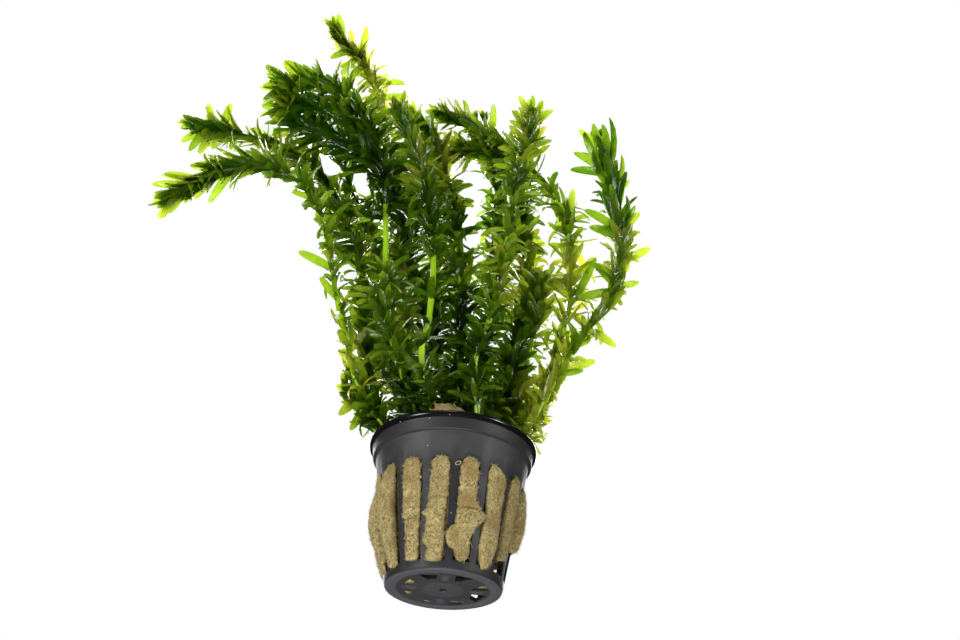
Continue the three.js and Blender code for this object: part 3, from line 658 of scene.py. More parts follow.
# Camera, floor and light
def set_stage():
    camera = show("camera", bpy.data.cameras.new("camera"))
    camera.data.lens = FOCAL_LENGTH
    camera.data.sensor_width = SENSOR_WIDTH
    camera.data.clip_start = 0.01
    camera.data.clip_end = 20.0
    camera.location = [c * MM for c in CAMERA_PLACE]
    camera.rotation_euler = [math.radians(a) for a in CAMERA_TURN]
    bpy.context.scene.camera = camera
    bpy.context.scene.view_settings.view_transform = "Standard"

    bm = bmesh.new()
    bmesh.ops.create_grid(bm, x_segments=1, y_segments=1, size=FLOOR_SIZE * MM)
    floor = object_from(bm, "floor", studio_floor())
    for effect in ("shadow", "diffuse", "glossy", "transmission"):
        setattr(floor, "visible_" + effect, False)

    world = bpy.data.worlds.new("light_tent")
    world.use_nodes = True
    tree = world.node_tree
    tree.nodes.clear()
    direction = add(tree, "ShaderNodeTexCoord").outputs["Generated"]
    toward_back = add(tree, "ShaderNodeVectorMath", {0: direction, 1: BACKLIGHT}, operation="DOT_PRODUCT")
    glow = add(tree, "ShaderNodeMapRange", {
        0: toward_back, 1: GLOW_START, 2: GLOW_FULL, 3: FRONT_GLOW, 4: BACK_GLOW},
        interpolation_type="SMOOTHSTEP")
    tent = add(tree, "ShaderNodeBackground", {"Color": "#ffffff", "Strength": glow})
    backdrop = add(tree, "ShaderNodeBackground", {"Color": "#ffffff", "Strength": 1.0})
    seen = add(tree, "ShaderNodeLightPath").outputs["Is Camera Ray"]
    both = add(tree, "ShaderNodeMixShader", {0: seen, 1: tent, 2: backdrop})
    add(tree, "ShaderNodeOutputWorld", {"Surface": both})
    bpy.context.scene.world = world

    for name, place, size, power in SOFTBOXES:
        lamp = bpy.data.lights.new(name, "AREA")
        lamp.size = size * MM
        lamp.energy = power
        softbox = show(name, lamp)
        softbox.location = [c * MM for c in place]
        aim = Vector(SOFTBOX_AIM) - Vector(place)
        softbox.rotation_euler = aim.to_track_quat("-Z", "Y").to_euler()


# Net pot
def spun(profile, steps):
    """A solid of revolution about Z from a profile of radius and height that starts and ends on the axis."""
    bm = bmesh.new()
    verts = [bm.verts.new((r * MM, 0, z * MM)) for r, z in profile]
    edges = [bm.edges.new(pair) for pair in zip(verts, verts[1:])]
    bmesh.ops.spin(
        bm, geom=verts + edges, cent=(0, 0, 0), axis=(0, 0, 1), angle=2 * math.pi, steps=steps,
        use_merge=True, use_duplicate=False)
    bmesh.ops.remove_doubles(bm, verts=bm.verts, dist=1e-7)
    bmesh.ops.recalc_face_normals(bm, faces=bm.faces)
    return bm


def wall_radius(height):
    """Radius of the pot's outer wall at a height."""
    return BASE_RADIUS + (WALL_TOP_RADIUS - BASE_RADIUS) * height / COLLAR_FOOT


def prism(bm, corners, low, high):
    """Adds an upright prism between two heights."""
    face = bm.faces.new([bm.verts.new((x * MM, y * MM, low * MM)) for x, y in corners])
    made = bmesh.ops.extrude_face_region(bm, geom=[face])
    top = [g for g in made["geom"] if isinstance(g, bmesh.types.BMVert)]
    bmesh.ops.translate(bm, verts=top, vec=(0, 0, (high - low) * MM))


def slot_cutters():
    """One bar through the wall for each slot, its two upper edges rounded, all in one mesh."""
    bm = bmesh.new()
    for slot in range(SLOT_COUNT):
        bar = bmesh.ops.create_cube(bm, size=1.0)["verts"]
        for vert in bar:
            z = SLOT_HIGH if vert.co.z > 0 else SLOT_LOW
            half = math.tan(math.radians(SLOT_ANGLE / 2)) * wall_radius(z)
            out = wall_radius(z) + (SLOT_CUT if vert.co.y < 0 else -SLOT_CUT)
            vert.co = Vector((math.copysign(half, vert.co.x), -out, z)) * MM
        edges = {e for v in bar for e in v.link_edges}
        upper = [e for e in edges if abs(e.verts[0].co.x - e.verts[1].co.x) < 1e-9
                 and min(v.co.z for v in e.verts) > 0.9 * SLOT_HIGH * MM]
        rounded = bmesh.ops.bevel(
            bm, geom=upper, affect="EDGES", offset=SLOT_ROUND * MM, segments=6, profile=0.5, material=-1)
        verts = set(rounded["verts"]) | {v for v in bar if v.is_valid}
        bmesh.ops.transform(bm, matrix=turned(SLOT_TURN + slot * SLOT_PITCH), verts=list(verts))
    bmesh.ops.recalc_face_normals(bm, faces=bm.faces)
    return object_from(bm, "slot_cutters")


def base_cutters():
    """The holes of the base, their corners a little rounded."""
    bm = bmesh.new()
    for corners in BASE_HOLES:
        prism(bm, corners, -1.0, FLOOR + 1.0)
    bmesh.ops.recalc_face_normals(bm, faces=bm.faces)
    upright = [e for e in bm.edges if abs(e.verts[0].co.z - e.verts[1].co.z) > MM]
    bmesh.ops.bevel(
        bm, geom=upright, affect="EDGES", offset=HOLE_ROUND * MM, segments=2, profile=0.5, material=-1)
    return object_from(bm, "base_cutters")


def base_petals():
    """The four oval petals, one between the holes of each pair, a little proud of the base's recess."""
    bm = bmesh.new()
    for petal in range(4):
        verts = bmesh.ops.create_uvsphere(bm, u_segments=32, v_segments=12, radius=1.0)["verts"]
        bmesh.ops.scale(bm, vec=[c / 2 * MM for c in PETAL_SIZE], verts=verts)
        bmesh.ops.translate(bm, vec=(PETAL_MIDDLE * MM, 0, PETAL_HEIGHT * MM), verts=verts)
        bmesh.ops.transform(bm, matrix=turned(PETAL_TURN + 90 * petal), verts=verts)
    return object_from(bm, "base_petals")


def base_folds():
    """Two raised wrinkles where the base has warped and split at the back right."""
    bm = bmesh.new()
    for path in FOLD_PATHS:
        for (x, y), (far_x, far_y) in zip(path, path[1:]):
            reach = math.hypot(far_x - x, far_y - y) / 2 + FOLD_OVERLAP
            verts = bmesh.ops.create_uvsphere(bm, u_segments=16, v_segments=8, radius=1.0)["verts"]
            bmesh.ops.scale(bm, vec=(reach * MM, FOLD_HALF_WIDTH * MM, FOLD_DEPTH * MM), verts=verts)
            turn = Matrix.Rotation(math.atan2(far_y - y, far_x - x), 4, "Z")
            shift = Matrix.Translation(((x + far_x) / 2 * MM, (y + far_y) / 2 * MM, FOLD_HEIGHT * MM))
            bmesh.ops.transform(bm, matrix=shift @ turn, verts=verts)
    return object_from(bm, "base_folds")


def make_pot():
    """The pot, spun from its profile of radius and height, then pierced, and its edges rounded."""
    outside = [
        (0, 1.2), (1.0, 1.2), (1.1, 0.3), (1.25, BOSS_LIFT), (RECESS_INNER - 0.3, BOSS_LIFT),
        (RECESS_INNER + 0.1, RECESS), (RECESS_OUTER - 0.1, RECESS), (RECESS_OUTER + 0.1, 0.12),
        (RECESS_OUTER + 0.4, 0), (17.2, 0), (17.75, 0.15), (18.0, 0.5), (wall_radius(1.2), 1.2),
        (wall_radius(20), 20), (wall_radius(COLLAR_FOOT - 0.3), COLLAR_FOOT - 0.3),
        (WALL_TOP_RADIUS + 0.1, COLLAR_FOOT - 0.05), (COLLAR_RADIUS - 0.25, COLLAR_FOOT),
        (COLLAR_RADIUS, COLLAR_FOOT + 0.25), (COLLAR_RADIUS + 0.35, 45.3), (COLLAR_RADIUS + 0.6, 45.75),
        (26.9, 45.85), (27.3, 46.05), (27.5, 46.5), (27.45, 46.95), (27.2, 47.3), (26.8, 47.5),
    ]
    inside = [
        (26.3, 47.45), (25.85, 47.1), (25.5, 46.4), (25.2, 45.0), (24.7, 42.2),
        (WALL_TOP_RADIUS - WALL, 40.8), (wall_radius(FLOOR + 0.6) - WALL, FLOOR + 0.6),
        (wall_radius(FLOOR) - WALL - 0.6, FLOOR), (0, FLOOR),
    ]
    pot = object_from(spun(outside + inside, POT_STEPS), "net_pot", moulded_polypropylene())
    for operation, tool in (
            ("UNION", base_petals()), ("UNION", base_folds()),
            ("DIFFERENCE", base_cutters()), ("DIFFERENCE", slot_cutters())):
        cut = pot.modifiers.new("cut", "BOOLEAN")
        cut.operation = operation
        cut.object = tool
        cut.solver = "EXACT"
        cut.use_self = operation == "UNION"
        apply_modifiers(pot)
        bpy.data.objects.remove(tool)
    edge = pot.modifiers.new("edge", "BEVEL")
    edge.width = EDGE_ROUND * MM
    edge.segments = 2
    edge.limit_method = "ANGLE"
    edge.angle_limit = math.radians(EDGE_ANGLE)
    edge.use_clamp_overlap = True
    apply_modifiers(pot)
    pot.data.shade_smooth()
    pot.data.set_sharp_from_angle(angle=math.radians(SHARP_ANGLE))
    finish_piece(pot, "pot", "pot")


# Rock wool
def ruffle(place, octaves=4):
    """Cloudy noise at a place, from about -1 to 1."""
    return noise.fractal(Vector(place), 1.0, 2.0, octaves)


def from_front(slot):
    """A slot's number counted from the front, up to 8 toward +X and below zero toward -X."""
    return slot if slot <= SLOT_COUNT // 2 else slot - SLOT_COUNT


def at_height(rows, height):
    """The values at a height of rows that each start with theirs."""
    heights, *columns = zip(*rows)
    return [float(np.interp(height, heights, column)) for column in columns]


def wool_edges(slot, height):
    """Left and right edge of the wool at a slot and height, in degrees from the front."""
    if from_front(slot) in WOOL_OUTLINES:
        return at_height(WOOL_OUTLINES[from_front(slot)], height)
    middle = SLOT_TURN + slot * SLOT_PITCH
    wander = 1.6 * noise.noise(Vector((slot * 3.1, height * 0.22, 0)))
    flare = 1.3 * noise.noise(Vector((slot * 5.7, height * 0.16, 4)))
    return middle - SLOT_ANGLE / 2 + wander - abs(flare), middle + SLOT_ANGLE / 2 + wander + flare


def wool_span(slot):
    """The heights at which the wool at a slot starts and ends."""
    if from_front(slot) in WOOL_OUTLINES:
        rows = WOOL_OUTLINES[from_front(slot)]
        return rows[0][0], rows[-1][0]
    return WOOL_FEET.get(slot, SLOT_LOW + 0.3), SLOT_HIGH - 0.3


def wool_swell(slot, height):
    """How far the wool stands out of the wall at a slot and height."""
    if from_front(slot) in WOOL_SWELLS:
        return at_height(WOOL_SWELLS[from_front(slot)], height)[0]
    lump = 0.55 + 0.45 * noise.noise(Vector((slot * 4.0, height * 0.13, 7)))
    swell = 0.5 + WOOL_BULGES[slot] * (0.5 + 0.5 * lump)
    for crease in WOOL_CREASES.get(from_front(slot), ()):
        swell *= 1 - 0.6 * math.exp(-((height - crease) / 0.45) ** 2)
    return swell


def wool_lobe(bm, slot):
    """The felt that swells out of one slot: a sphere whose corners are moved onto its torn outline."""
    shown = abs(from_front(slot)) <= 4
    made = bmesh.ops.create_uvsphere(
        bm, u_segments=36 if shown else 24, v_segments=84 if shown else 48, radius=1.0)
    low, high = wool_span(slot)
    middle = SLOT_TURN + slot * SLOT_PITCH
    rough = WOOL_PRESSED.get(from_front(slot), 1.0)
    for vert in made["verts"]:
        x, y, z = vert.co
        ring = math.hypot(x, y)
        across, out = (x / ring, -y / ring) if ring > 1e-6 else (0.0, 0.0)
        climb = 2 * math.acos(max(-1.0, min(1.0, -z))) / math.pi - 1
        height = low + (high - low) * (climb + 1) / 2
        left, right = wool_edges(slot, height)
        start = 0.84 if climb > 0 else 0.94
        ends = math.sqrt(max(0.0, 1 - max(0.0, (abs(climb) - start) / (1 - start)) ** 2))
        side = math.copysign(3.0, across)
        torn = ruffle((slot * 9.0 + side, height * 0.9, 0))
        angle = (left + right) / 2 + ((right - left) / 2 + WOOL_TEAR * rough * torn) * across * ends
        within = min(1.0, max(0.0, (SLOT_ANGLE / 2 + 1.0 - abs(angle - middle)) / 1.5))
        radius = wall_radius(height) + 0.1
        if out > 0:
            steep = (1 - abs(across) ** 7) ** 0.5
            fuzz = WOOL_FUZZ * rough * ruffle((angle * 0.45, height * 1.1, slot))
            radius += (wool_swell(slot, height) + fuzz) * steep * ends
        else:
            radius += LOBE_DEPTH * out * within * ends
        turn = math.radians(angle)
        vert.co = Vector((math.sin(turn) * radius, -math.cos(turn) * radius, height)) * MM
    return made["verts"]


def smooth_step(value, start, end):
    """From 0 at the start to 1 at the end, level at both."""
    share = min(1.0, max(0.0, (value - start) / (end - start)))
    return share * share * (3 - 2 * share)


def wool_foot(x, y):
    """How high the wad's underside hangs: it rests on the base at the left and the back left only."""
    near_left = 1 - smooth_step(x, -9.0, -5.0)
    near_back = smooth_step(y, 5.0, 9.0) * (1 - smooth_step(x, -3.5, 0.0))
    return WAD_START + HOLLOW_HEIGHT * (1 - max(near_left, near_back))


def wool_core(bm):
    """The wad inside the pot, its crown uneven between the stems and its foot hollow at the right."""
    skin = WALL + WAD_CLEARANCE
    profile = [(r, WAD_START) for r in np.linspace(0, wall_radius(2) - skin - 0.5, 12)]
    profile += [(wall_radius(z) - skin, z) for z in np.linspace(3.0, 40.0, 16)]
    profile += [(23.4, 43), (23.3, 45.4), (22.3, 47.4), (19, 49), (14, 50.1), (9, 50.7), (4, 51), (0, 51)]
    core = spun(profile, WAD_STEPS)
    for vert in core.verts:
        place = vert.co / MM
        if place.z > CROWN_LOW:
            reach = max(0.0, 1 - math.hypot(place.x, place.y) / CROWN_RADIUS)
            vert.co.z += (CROWN_SWELL * ruffle(place * 0.16) * min(1.0, reach * 4)) * MM
            continue
        dent = ruffle(place * 0.35, 3)
        vert.co.x *= 1 - WAD_DENT * (1 + dent)
        vert.co.y *= 1 - WAD_DENT * (1 + dent)
        if place.z < WOOL_HOLLOW_TOP:
            foot = wool_foot(place.x, place.y) + 0.3 * (1 + dent)
            share = (place.z - WAD_START) / (WOOL_HOLLOW_TOP - WAD_START)
            vert.co.z = (foot + (WOOL_HOLLOW_TOP - foot) * share) * MM
    mesh = bpy.data.meshes.new("core")
    core.to_mesh(mesh)
    core.free()
    add_mesh(bm, mesh)


def wool_lump(bm):
    """The lump of wool that stands above the rim at the front."""
    made = bmesh.ops.create_icosphere(bm, subdivisions=4, radius=1.0)
    for vert in made["verts"]:
        place = Vector([c * s for c, s in zip(vert.co, LUMP_SIZE)]) + Vector(LUMP_CENTRE)
        place.z += LUMP_TILT * (place.x - LUMP_CENTRE[0])
        place += vert.co * 0.8 * ruffle(place * 0.7)
        vert.co = place * MM


def chance(seeds):
    """Repeatable numbers from 0 to 1."""
    wave = np.sin(np.asarray(seeds, float) * 12.9898) * 43758.5453
    return wave - np.floor(wave)


# Many small blades and strands as one mesh
def unit(vectors):
    """The vectors at length 1."""
    return vectors / np.maximum(np.linalg.norm(vectors, axis=-1, keepdims=True), 1e-12)


def blade_template(rings, profile, sides):
    """A long thin sphere: for each corner its place along, its side, its layer and the width there."""
    bm = bmesh.new()
    bmesh.ops.create_uvsphere(bm, u_segments=sides, v_segments=len(rings) + 1, radius=1.0)
    bm.verts.ensure_lookup_table()
    levels = sorted({round(v.co.z, 5) for v in bm.verts})
    along = dict(zip(levels, (0.0, *rings, 1.0)))
    width = dict(zip(levels, (0.0, *profile, 0.0)))
    rows = []
    for vert in bm.verts:
        ring = math.hypot(vert.co.x, vert.co.y)
        x, y = (vert.co.x / ring, vert.co.y / ring) if ring > 1e-5 else (0.0, 0.0)
        level = round(vert.co.z, 5)
        rows.append((along[level], x, y, width[level]))
    faces = [[v.index for v in f.verts] for f in bm.faces]
    bm.free()
    return np.array(rows), faces


def place_blades(template, roots, tips, normals, sag, half_width, half_depth, fold, twist):
    """Corners of every blade: each runs from root to tip in an arc that bulges along its normal."""
    along, side, layer, width = template.T
    chord = tips - roots
    length = np.linalg.norm(chord, axis=1)
    normals = unit(normals - unit(chord) * np.sum(normals * unit(chord), axis=1, keepdims=True))
    u = along[None, :, None]
    bulge = (4 * sag * length)[:, None, None] * normals[:, None, :]
    centre = roots[:, None, :] + chord[:, None, :] * u + bulge * u * (1 - u)
    tangent = unit(chord[:, None, :] + bulge * (1 - 2 * u))
    across = unit(np.cross(tangent, np.broadcast_to(normals[:, None, :], tangent.shape)))
    up = np.cross(across, tangent)
    turn = (twist[:, None] * along[None, :])[:, :, None]
    across, up = across * np.cos(turn) + up * np.sin(turn), up * np.cos(turn) - across * np.sin(turn)
    wide = half_width[:, None] * width[None, :]
    deep = half_depth[:, None] * np.sqrt(width)[None, :]
    lift = wide * fold[:, None] * np.abs(side)[None, :] + deep * layer[None, :]
    return centre + across * (wide * side[None, :])[:, :, None] + up * lift[:, :, None]


def mesh_of_blades(name, corners, faces, attributes):
    """One mesh of all the blades, with a value on each corner for each attribute."""
    count, size = corners.shape[:2]
    quads = [[i + blade * size for i in face] for blade in range(count) for face in faces]
    mesh = bpy.data.meshes.new(name)
    mesh.from_pydata((corners.reshape(-1, 3) * MM).tolist(), [], quads)
    for label, values in attributes.items():
        layer = mesh.attributes.new(label, "FLOAT", "POINT")
        layer.data.foreach_set("value", np.repeat(values, size).astype(np.float32))
    return mesh


def on_wall(angle, height, radius):
    """The move from the origin to a place round the axis, its +Y turned outward."""
    shift = Matrix.Translation((0, -radius * MM, height * MM))
    return turned(angle) @ shift @ turned(180)


def stray_fibres(bm):
    """Adds the crumbs on the wall and the loop of one bent strand, all of the palest tone, which on the
    crumbs is partly their own pale fibre colour and partly painted glints of water.
    """
    tone = bm.verts.layers.float["fibre_tone"]
    strands = set(bm.verts)
    for place in CRUMBS:
        made = bmesh.ops.create_icosphere(bm, subdivisions=1, radius=CRUMB_RADIUS * MM)
        bmesh.ops.transform(bm, matrix=on_wall(*place), verts=made["verts"])
    section = bmesh.ops.create_circle(bm, segments=8, radius=LOOP_STRAND * MM)["verts"]
    bmesh.ops.translate(bm, vec=(LOOP_RADIUS * MM, 0, 0), verts=section)
    edges = list({e for v in section for e in v.link_edges})
    bmesh.ops.spin(
        bm, geom=section + edges, cent=(0, 0, 0), axis=(0, 1, 0), angle=2 * math.pi, steps=24, use_merge=True,
        use_duplicate=False)
    ring = [v for v in bm.verts if v not in strands and v.co.length < 2 * LOOP_RADIUS * MM]
    stretch = Matrix.Diagonal((LOOP_STRETCH, 1.0, 1.0, 1.0))
    tilt = Matrix.Rotation(math.radians(LOOP_TILT), 4, "Y")
    bmesh.ops.transform(bm, matrix=on_wall(*LOOP_PLACE) @ tilt @ stretch, verts=ring)
    # The palest tone: the strands' own pale colour, and on the crumbs also painted glints of water
    for vert in bm.verts:
        if vert not in strands:
            vert[tone] = 1.0


def make_fibres(surface, material):
    """Strands that lie loose on the felt and fray out. surface: places on it and the directions outward."""
    template, faces = blade_template((0.3, 0.7), (1, 0.9), 3)
    picks = np.array(surface)
    seeds = np.arange(FIBRES) * 1.37
    picks = picks[(chance(seeds) * len(picks)).astype(int)]
    roots, outward = picks[:, :3], picks[:, 3:]
    spray = unit(np.stack([chance(seeds + k) - 0.5 for k in (0.21, 0.43, 0.77)], axis=1))
    flat = spray - outward * np.sum(spray * outward, axis=1, keepdims=True)
    heading = unit(unit(flat) + outward * (0.35 * chance(seeds + 0.6) ** 2)[:, None])
    shortest, longest = FIBRE_LENGTHS
    length = shortest + (longest - shortest) * chance(seeds + 0.9) ** 2
    tips = roots + outward * 0.1 + heading * length[:, None]
    thinnest, thickest = FIBRE_RADII
    radius = thinnest + (thickest - thinnest) * chance(seeds + 0.5)
    still = np.zeros(FIBRES)
    corners = place_blades(
        template, roots - heading * 0.15, tips, outward, 0.12 * chance(seeds + 1.3), radius, radius,
        still, still)
    bm = bmesh.new()
    add_mesh(bm, mesh_of_blades("fibres", corners, faces, {"fibre_tone": chance(seeds + 0.8)}))
    stray_fibres(bm)
    bmesh.ops.recalc_face_normals(bm, faces=bm.faces)
    fibres = object_from(bm, "rock_wool_fibres", material)
    fibres.data.shade_smooth()
    finish_piece(fibres, "rock_wool", "rock_wool")


def make_wool():
    """The wad with its lump, plugs and lobes as one piece, and the loose fibres as another."""
    bm = bmesh.new()
    wool_core(bm)
    wool_lump(bm)
    for corners, low in WOOL_PLUGS:
        prism(bm, corners, low, PLUG_TOP)
    surface = []
    for slot in range(SLOT_COUNT):
        verts = wool_lobe(bm, slot)
        bm.normal_update()
        for vert in verts:
            if math.hypot(vert.co.x, vert.co.y) / MM > wall_radius(vert.co.z / MM) + FIBRE_REACH:
                surface.append((*(vert.co / MM), *vert.normal))
    bmesh.ops.recalc_face_normals(bm, faces=bm.faces)
    wool = object_from(bm, "rock_wool_wad", rock_wool_felt())
    wool.data.shade_smooth()
    finish_piece(wool, "rock_wool", "rock_wool")
    make_fibres(surface, rock_wool_strand())


# Waterweed
class CentreLine:
    """A stem's smooth centre line, read by its distance from the foot."""

    def __init__(self, points):
        knots = np.array(points, float)
        ends = np.vstack([2 * knots[0] - knots[1], knots, 2 * knots[-1] - knots[-2]])
        t = np.linspace(0, 1, 40, endpoint=False)[:, None]
        spans = []
        for i in range(1, len(ends) - 2):
            a, b = ends[i], ends[i + 1]
            start, finish = (ends[i + 1] - ends[i - 1]) / 2, (ends[i + 2] - ends[i]) / 2
            cubic = 2 * (a - b) + start + finish
            square = 3 * (b - a) - 2 * start - finish
            spans.append(a + start * t + square * t ** 2 + cubic * t ** 3)
        self.line = np.vstack([*spans, knots[-1:]])
        steps = np.linalg.norm(np.diff(self.line, axis=0), axis=1)
        self.along = np.concatenate([[0], np.cumsum(steps)])
        self.length = self.along[-1]

    def at(self, distance):
        return np.stack([np.interp(distance, self.along, self.line[:, k]) for k in range(3)], axis=-1)

    def growth(self, distance):
        """The direction in which the stem grows."""
        ahead = np.minimum(distance + 0.5, self.length)
        return unit(self.at(ahead) - self.at(ahead - 1.0))


def on_tone_plane(places):
    """X and Z where places stand on the tone plane as the camera sees them."""
    share = (TONE_PLANE - CAMERA_PLACE[1]) / (places[:, 1] - CAMERA_PLACE[1])
    return places[:, 0] * share, CAMERA_PLACE[2] + (places[:, 2] - CAMERA_PLACE[2]) * share


def in_gaps(leaves):
    """Whether the middle or the tip of a leaf would hide one of the gaps between the stems."""
    hidden = np.zeros(len(leaves["roots"]), bool)
    for share in (0.5, 0.75, 1.0):
        x, z = on_tone_plane(leaves["roots"] + (leaves["tips"] - leaves["roots"]) * share)
        for (gap_x, gap_z), reach in GAPS:
            hidden |= np.hypot(x - gap_x, z - gap_z) < reach
    return hidden


def painted_light_and_shade(places):
    """How much painted light makes the leaves at some places paler, or painted shade darker, than usual."""
    x, z = on_tone_plane(places)
    return sum(
        amount * np.exp(-((x - spot_x) ** 2 + (z - spot_z) ** 2) / reach ** 2)
        for (spot_x, spot_z), reach, amount in LIGHT_AND_SHADE_SPOTS)


def whorl_places(name, index, line, first_whorl, denser):
    """Distance from the tip, turn, seed and droop of every leaf that stands in a whorl."""
    thin_low, thin_high, left = THINNED.get(name, (0, 0, 1))
    places, from_tip = [], 0.5
    while from_tip < line.length - first_whorl:
        places.append(from_tip)
        spacing = TIP_SPACING + SPACING_GAIN * (1 - math.exp(-from_tip / SPACING_REACH))
        from_tip += spacing * (0.5 + chance(from_tip + index)) / denser
    rows = []
    for whorl, distance in enumerate(places):
        height = line.at(line.length - distance)[2]
        if any(low < height < high for low, high in BARE.get(name, ())):
            continue
        count = 5 if chance(index * 31 + whorl) < FIVE_LEAVED else 6
        droop = chance(index * 17 + whorl * 3) - 0.5
        for leaf in range(count):
            seed = index * 1000 + whorl * 7 + leaf
            if thin_low < height < thin_high and chance(seed + 0.55) > left:
                continue
            rows.append((distance, whorl * WHORL_TURN + leaf * 2 * math.pi / count, seed, droop))
    return np.array(rows).T


def whorl_leaves(name, index, line, first_whorl):
    """Roots, tips and shapes of the leaves that stand in whorls along a stem."""
    longer, opener, denser, closed = STEM_LOOKS.get(name, USUAL_LOOK)
    from_tip, around, seed, droop = whorl_places(name, index, line, first_whorl, denser)
    around = around + TURN_SCATTER * (chance(seed + 0.1) - 0.5)
    from_tip = from_tip + PLACE_SCATTER * chance(seed + 0.15)
    along = line.length - from_tip
    growth = line.growth(along)
    sideways = unit(np.cross(growth, (0.0, 1.0, 0.0)))
    forward = np.cross(growth, sideways)
    outward = sideways * np.cos(around)[:, None] + forward * np.sin(around)[:, None]
    grown = 1 - np.exp(-(from_tip / closed) ** 2)
    spread = chance(seed + 0.2)
    young = np.interp(spread, *TIP_SPREAD) * opener
    old = np.interp(spread, *FOOT_SPREAD) + WHORL_DROOP * droop
    tilt = np.radians(young + (old - young) * grown)
    curl = np.radians(np.interp(chance(seed + 0.3), *LEAF_CURLS) * (0.25 + 0.75 * grown))
    length = LEAF_LENGTH + LENGTH_GAIN * np.minimum(1, from_tip / 16) - LENGTH_LOSS * grown
    length = length * (0.75 + 0.55 * chance(seed + 0.4)) * (1 + (longer - 1) * np.exp(-from_tip / 60))
    radius = STEM_RADIUS * 0.6 * np.minimum(1, 0.5 + from_tip / 60)
    roots = line.at(along) + outward * radius[:, None]
    heading = growth * np.cos(tilt)[:, None] + outward * np.sin(tilt)[:, None]
    drop = LEAF_HANG * np.minimum(1, from_tip / 70) * (0.4 + 1.2 * chance(seed + 0.6))
    heading = unit(heading - np.array([0, 0, 1.0]) * drop[:, None])
    sway = LEAF_SWAY * (chance(seed + 0.7) - 0.5) * (0.3 + 0.7 * grown)
    heading = unit(heading + np.cross(growth, outward) * sway[:, None])
    normals = growth * np.sin(tilt)[:, None] - outward * np.cos(tilt)[:, None]
    return {
        "roots": roots, "tips": roots + heading * length[:, None], "normals": normals, "sag": curl / 8,
        "width": (LEAF_WIDTH - WIDTH_LOSS * grown) * (0.8 + 0.4 * chance(seed + 0.5)),
        "fold": 0.1 + 0.5 * chance(seed + 0.35),
        "twist": LEAF_TWIST * (chance(seed + 0.8) - 0.5) * grown, "age": grown,
        # Tone: random, paler on the stems in PALE, a little darker at the tips as painted shade of their
        # overlapping leaves, and painted light and shade at the spots
        "tone": chance(seed + 0.9) + PALE.get(name, 0) + 0.02 - 0.1 * (1 - grown) + painted_light_and_shade(roots),
        "single": np.zeros(len(seed), bool),
    }


def single_leaves(name, line):
    """The same for the leaves placed one by one, their roots moved onto the stem."""
    rows = SINGLE_LEAVES.get(name, [])
    count = len(rows)
    nearest = [np.argmin(np.linalg.norm(line.line - np.array(r[0], float), axis=1)) for r in rows]
    roots = line.line[np.array(nearest, int)]
    tips = np.array([r[1] for r in rows], float).reshape(-1, 3)
    bowed = np.array([len(r) > 2 for r in rows], bool)
    seed = np.arange(count) + 7.7 * len(name)
    length = np.linalg.norm(tips - roots, axis=1)
    facing = [(r[2] if len(r) > 2 else 0.2, -0.7, -0.35) for r in rows]
    return {
        "roots": roots, "tips": tips, "normals": np.array(facing, float).reshape(-1, 3),
        "sag": np.where(bowed, BOWED_SAG, 0.04 + 0.06 * chance(seed)),
        "width": np.where(bowed, BOWED_WIDTH, np.clip(length * 0.28, 2.2, 3.1)),
        "fold": np.full(count, 0.3), "twist": np.where(bowed, 0.0, 0.8 * (chance(seed + 0.3) - 0.5)),
        "tone": np.where(bowed, 0.1, 0.6) + 0.6 * chance(seed + 0.6), "age": np.full(count, 0.5),
        "single": np.ones(count, bool),
    }


def leaf_corners(template, leaves, keep):
    """Corners of the leaves that are kept."""
    kept = {key: values[keep] for key, values in leaves.items()}
    return place_blades(
        template, kept["roots"], kept["tips"], kept["normals"], kept["sag"], kept["width"] / 2,
        np.full(keep.sum(), LEAF_HALF_DEPTH), kept["fold"], kept["twist"])


def fit_leaves(template, leaves):
    """Shortens the leaves that reach too far, and tells which leaves are kept."""
    low, high = np.array(cad_low) / MM + FRAME_MARGIN, np.array(cad_high) / MM - FRAME_MARGIN
    everything = np.ones(len(leaves["roots"]), bool)
    for _ in range(FIT_ROUNDS):
        corners = leaf_corners(template, leaves, everything)
        x, z = corners[:, :, 0], corners[:, :, 2]
        left, right = [np.interp(z, REACH_HEIGHTS, reach) for reach in (REACH_LEFT, REACH_RIGHT)]
        astray = ((x < left) | (x > right)).any(axis=1)
        arched = leaves["roots"][:, 0] < ARCH_START
        drooping = (z < np.interp(x, ARCH_PLACES, ARCH_LOW)).any(axis=1)
        beyond = np.where(arched, drooping, astray) & ~leaves["single"]
        outside = ((corners < low) | (corners > high)).any(axis=(1, 2)) | beyond
        shorter = leaves["roots"] + (leaves["tips"] - leaves["roots"]) * FIT_STEP
        leaves["tips"] = np.where(outside[:, None], shorter, leaves["tips"])
    corners = leaf_corners(template, leaves, everything)
    near_rim = np.hypot(corners[:, :, 0], corners[:, :, 1]) < RIM_RADIUS + RIM_CLEARANCE
    in_pot = (near_rim & (corners[:, :, 2] < POT_HEIGHT + TOP_CLEARANCE)).any(axis=1)
    outside = ((corners < low) | (corners > high)).any(axis=(1, 2))
    stub = np.linalg.norm(leaves["tips"] - leaves["roots"], axis=1) < SHORTEST_LEAF
    return ~(in_pot | outside | stub | (in_gaps(leaves) & ~leaves["single"]))


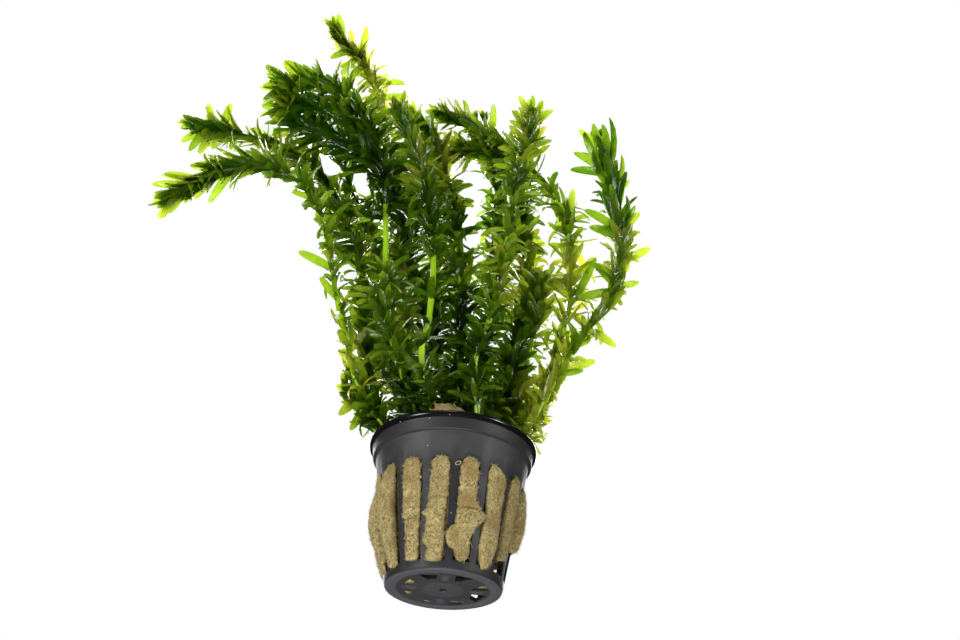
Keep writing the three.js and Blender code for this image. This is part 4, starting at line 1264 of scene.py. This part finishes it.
def stem_tube(name, line):
    """The stem itself as a bevelled curve, a little thicker at each node."""
    curve = bpy.data.curves.new(name, "CURVE")
    curve.dimensions = "3D"
    curve.bevel_depth = MM
    curve.bevel_resolution = 2
    curve.use_fill_caps = True
    distances = np.linspace(0, line.length - 0.3, int(line.length / STEM_STEP))
    spline = curve.splines.new("POLY")
    spline.points.add(len(distances) - 1)
    places = line.at(distances)
    share = distances / line.length
    radii = STEM_RADIUS + (TIP_RADIUS - STEM_RADIUS) * share ** 3
    nodes = NODE_SWELLING * np.maximum(0, np.sin(distances * 2 * math.pi / NODE_SPACING)) ** 6
    for point, place, radius in zip(spline.points, places, radii + nodes):
        point.co = (*(place * MM), 1.0)
        point.radius = radius
    mesh = evaluated_mesh(show(name, curve))
    bpy.data.curves.remove(curve)
    bm = bmesh.new()
    bm.from_mesh(mesh)
    bmesh.ops.remove_doubles(bm, verts=bm.verts, dist=1e-6)
    bm.to_mesh(mesh)
    bm.free()
    return mesh


def make_stem(name, index, leaf_material, stem_material):
    """One stem with its side shoots and leaves, as one piece."""
    lines = [CentreLine(STEMS[name])]
    template, faces = blade_template(LEAF_RINGS, LEAF_PROFILE, 4)
    sets = [whorl_leaves(name, index, lines[0], FIRST_WHORL), single_leaves(name, lines[0])]
    for shoot, path in enumerate(SIDE_SHOOTS.get(name, []), 1):
        lines.append(CentreLine(path))
        sets.append(whorl_leaves(name, index + 40 * shoot, lines[-1], SHOOT_FIRST_WHORL))
    leaves = {key: np.concatenate([s[key] for s in sets]) for key in sets[0]}
    keep = fit_leaves(template, leaves)
    corners = leaf_corners(template, leaves, keep)
    attributes = {"leaf_tone_and_light": leaves["tone"][keep], "leaf_age": leaves["age"][keep]}
    bm = bmesh.new()
    add_mesh(bm, mesh_of_blades("blades", corners, faces, attributes))
    leaf_faces = len(bm.faces)
    for line in lines:
        add_mesh(bm, stem_tube(name + "_tube", line))
    bm.faces.ensure_lookup_table()
    for face in bm.faces[leaf_faces:]:
        face.material_index = 1
    bmesh.ops.recalc_face_normals(bm, faces=bm.faces)
    piece = object_from(bm, name.replace("stem_", "waterweed_"), leaf_material, stem_material)
    piece.data.shade_smooth()
    piece.data.set_sharp_from_angle(angle=math.radians(LEAF_SHARP_ANGLE))
    finish_piece(piece, "waterweed", name)


set_stage()
make_pot()
make_wool()
leaf_material, stem_material = waterweed_leaf(), waterweed_stem()
for index, name in enumerate(STEMS):
    make_stem(name, index, leaf_material, stem_material)
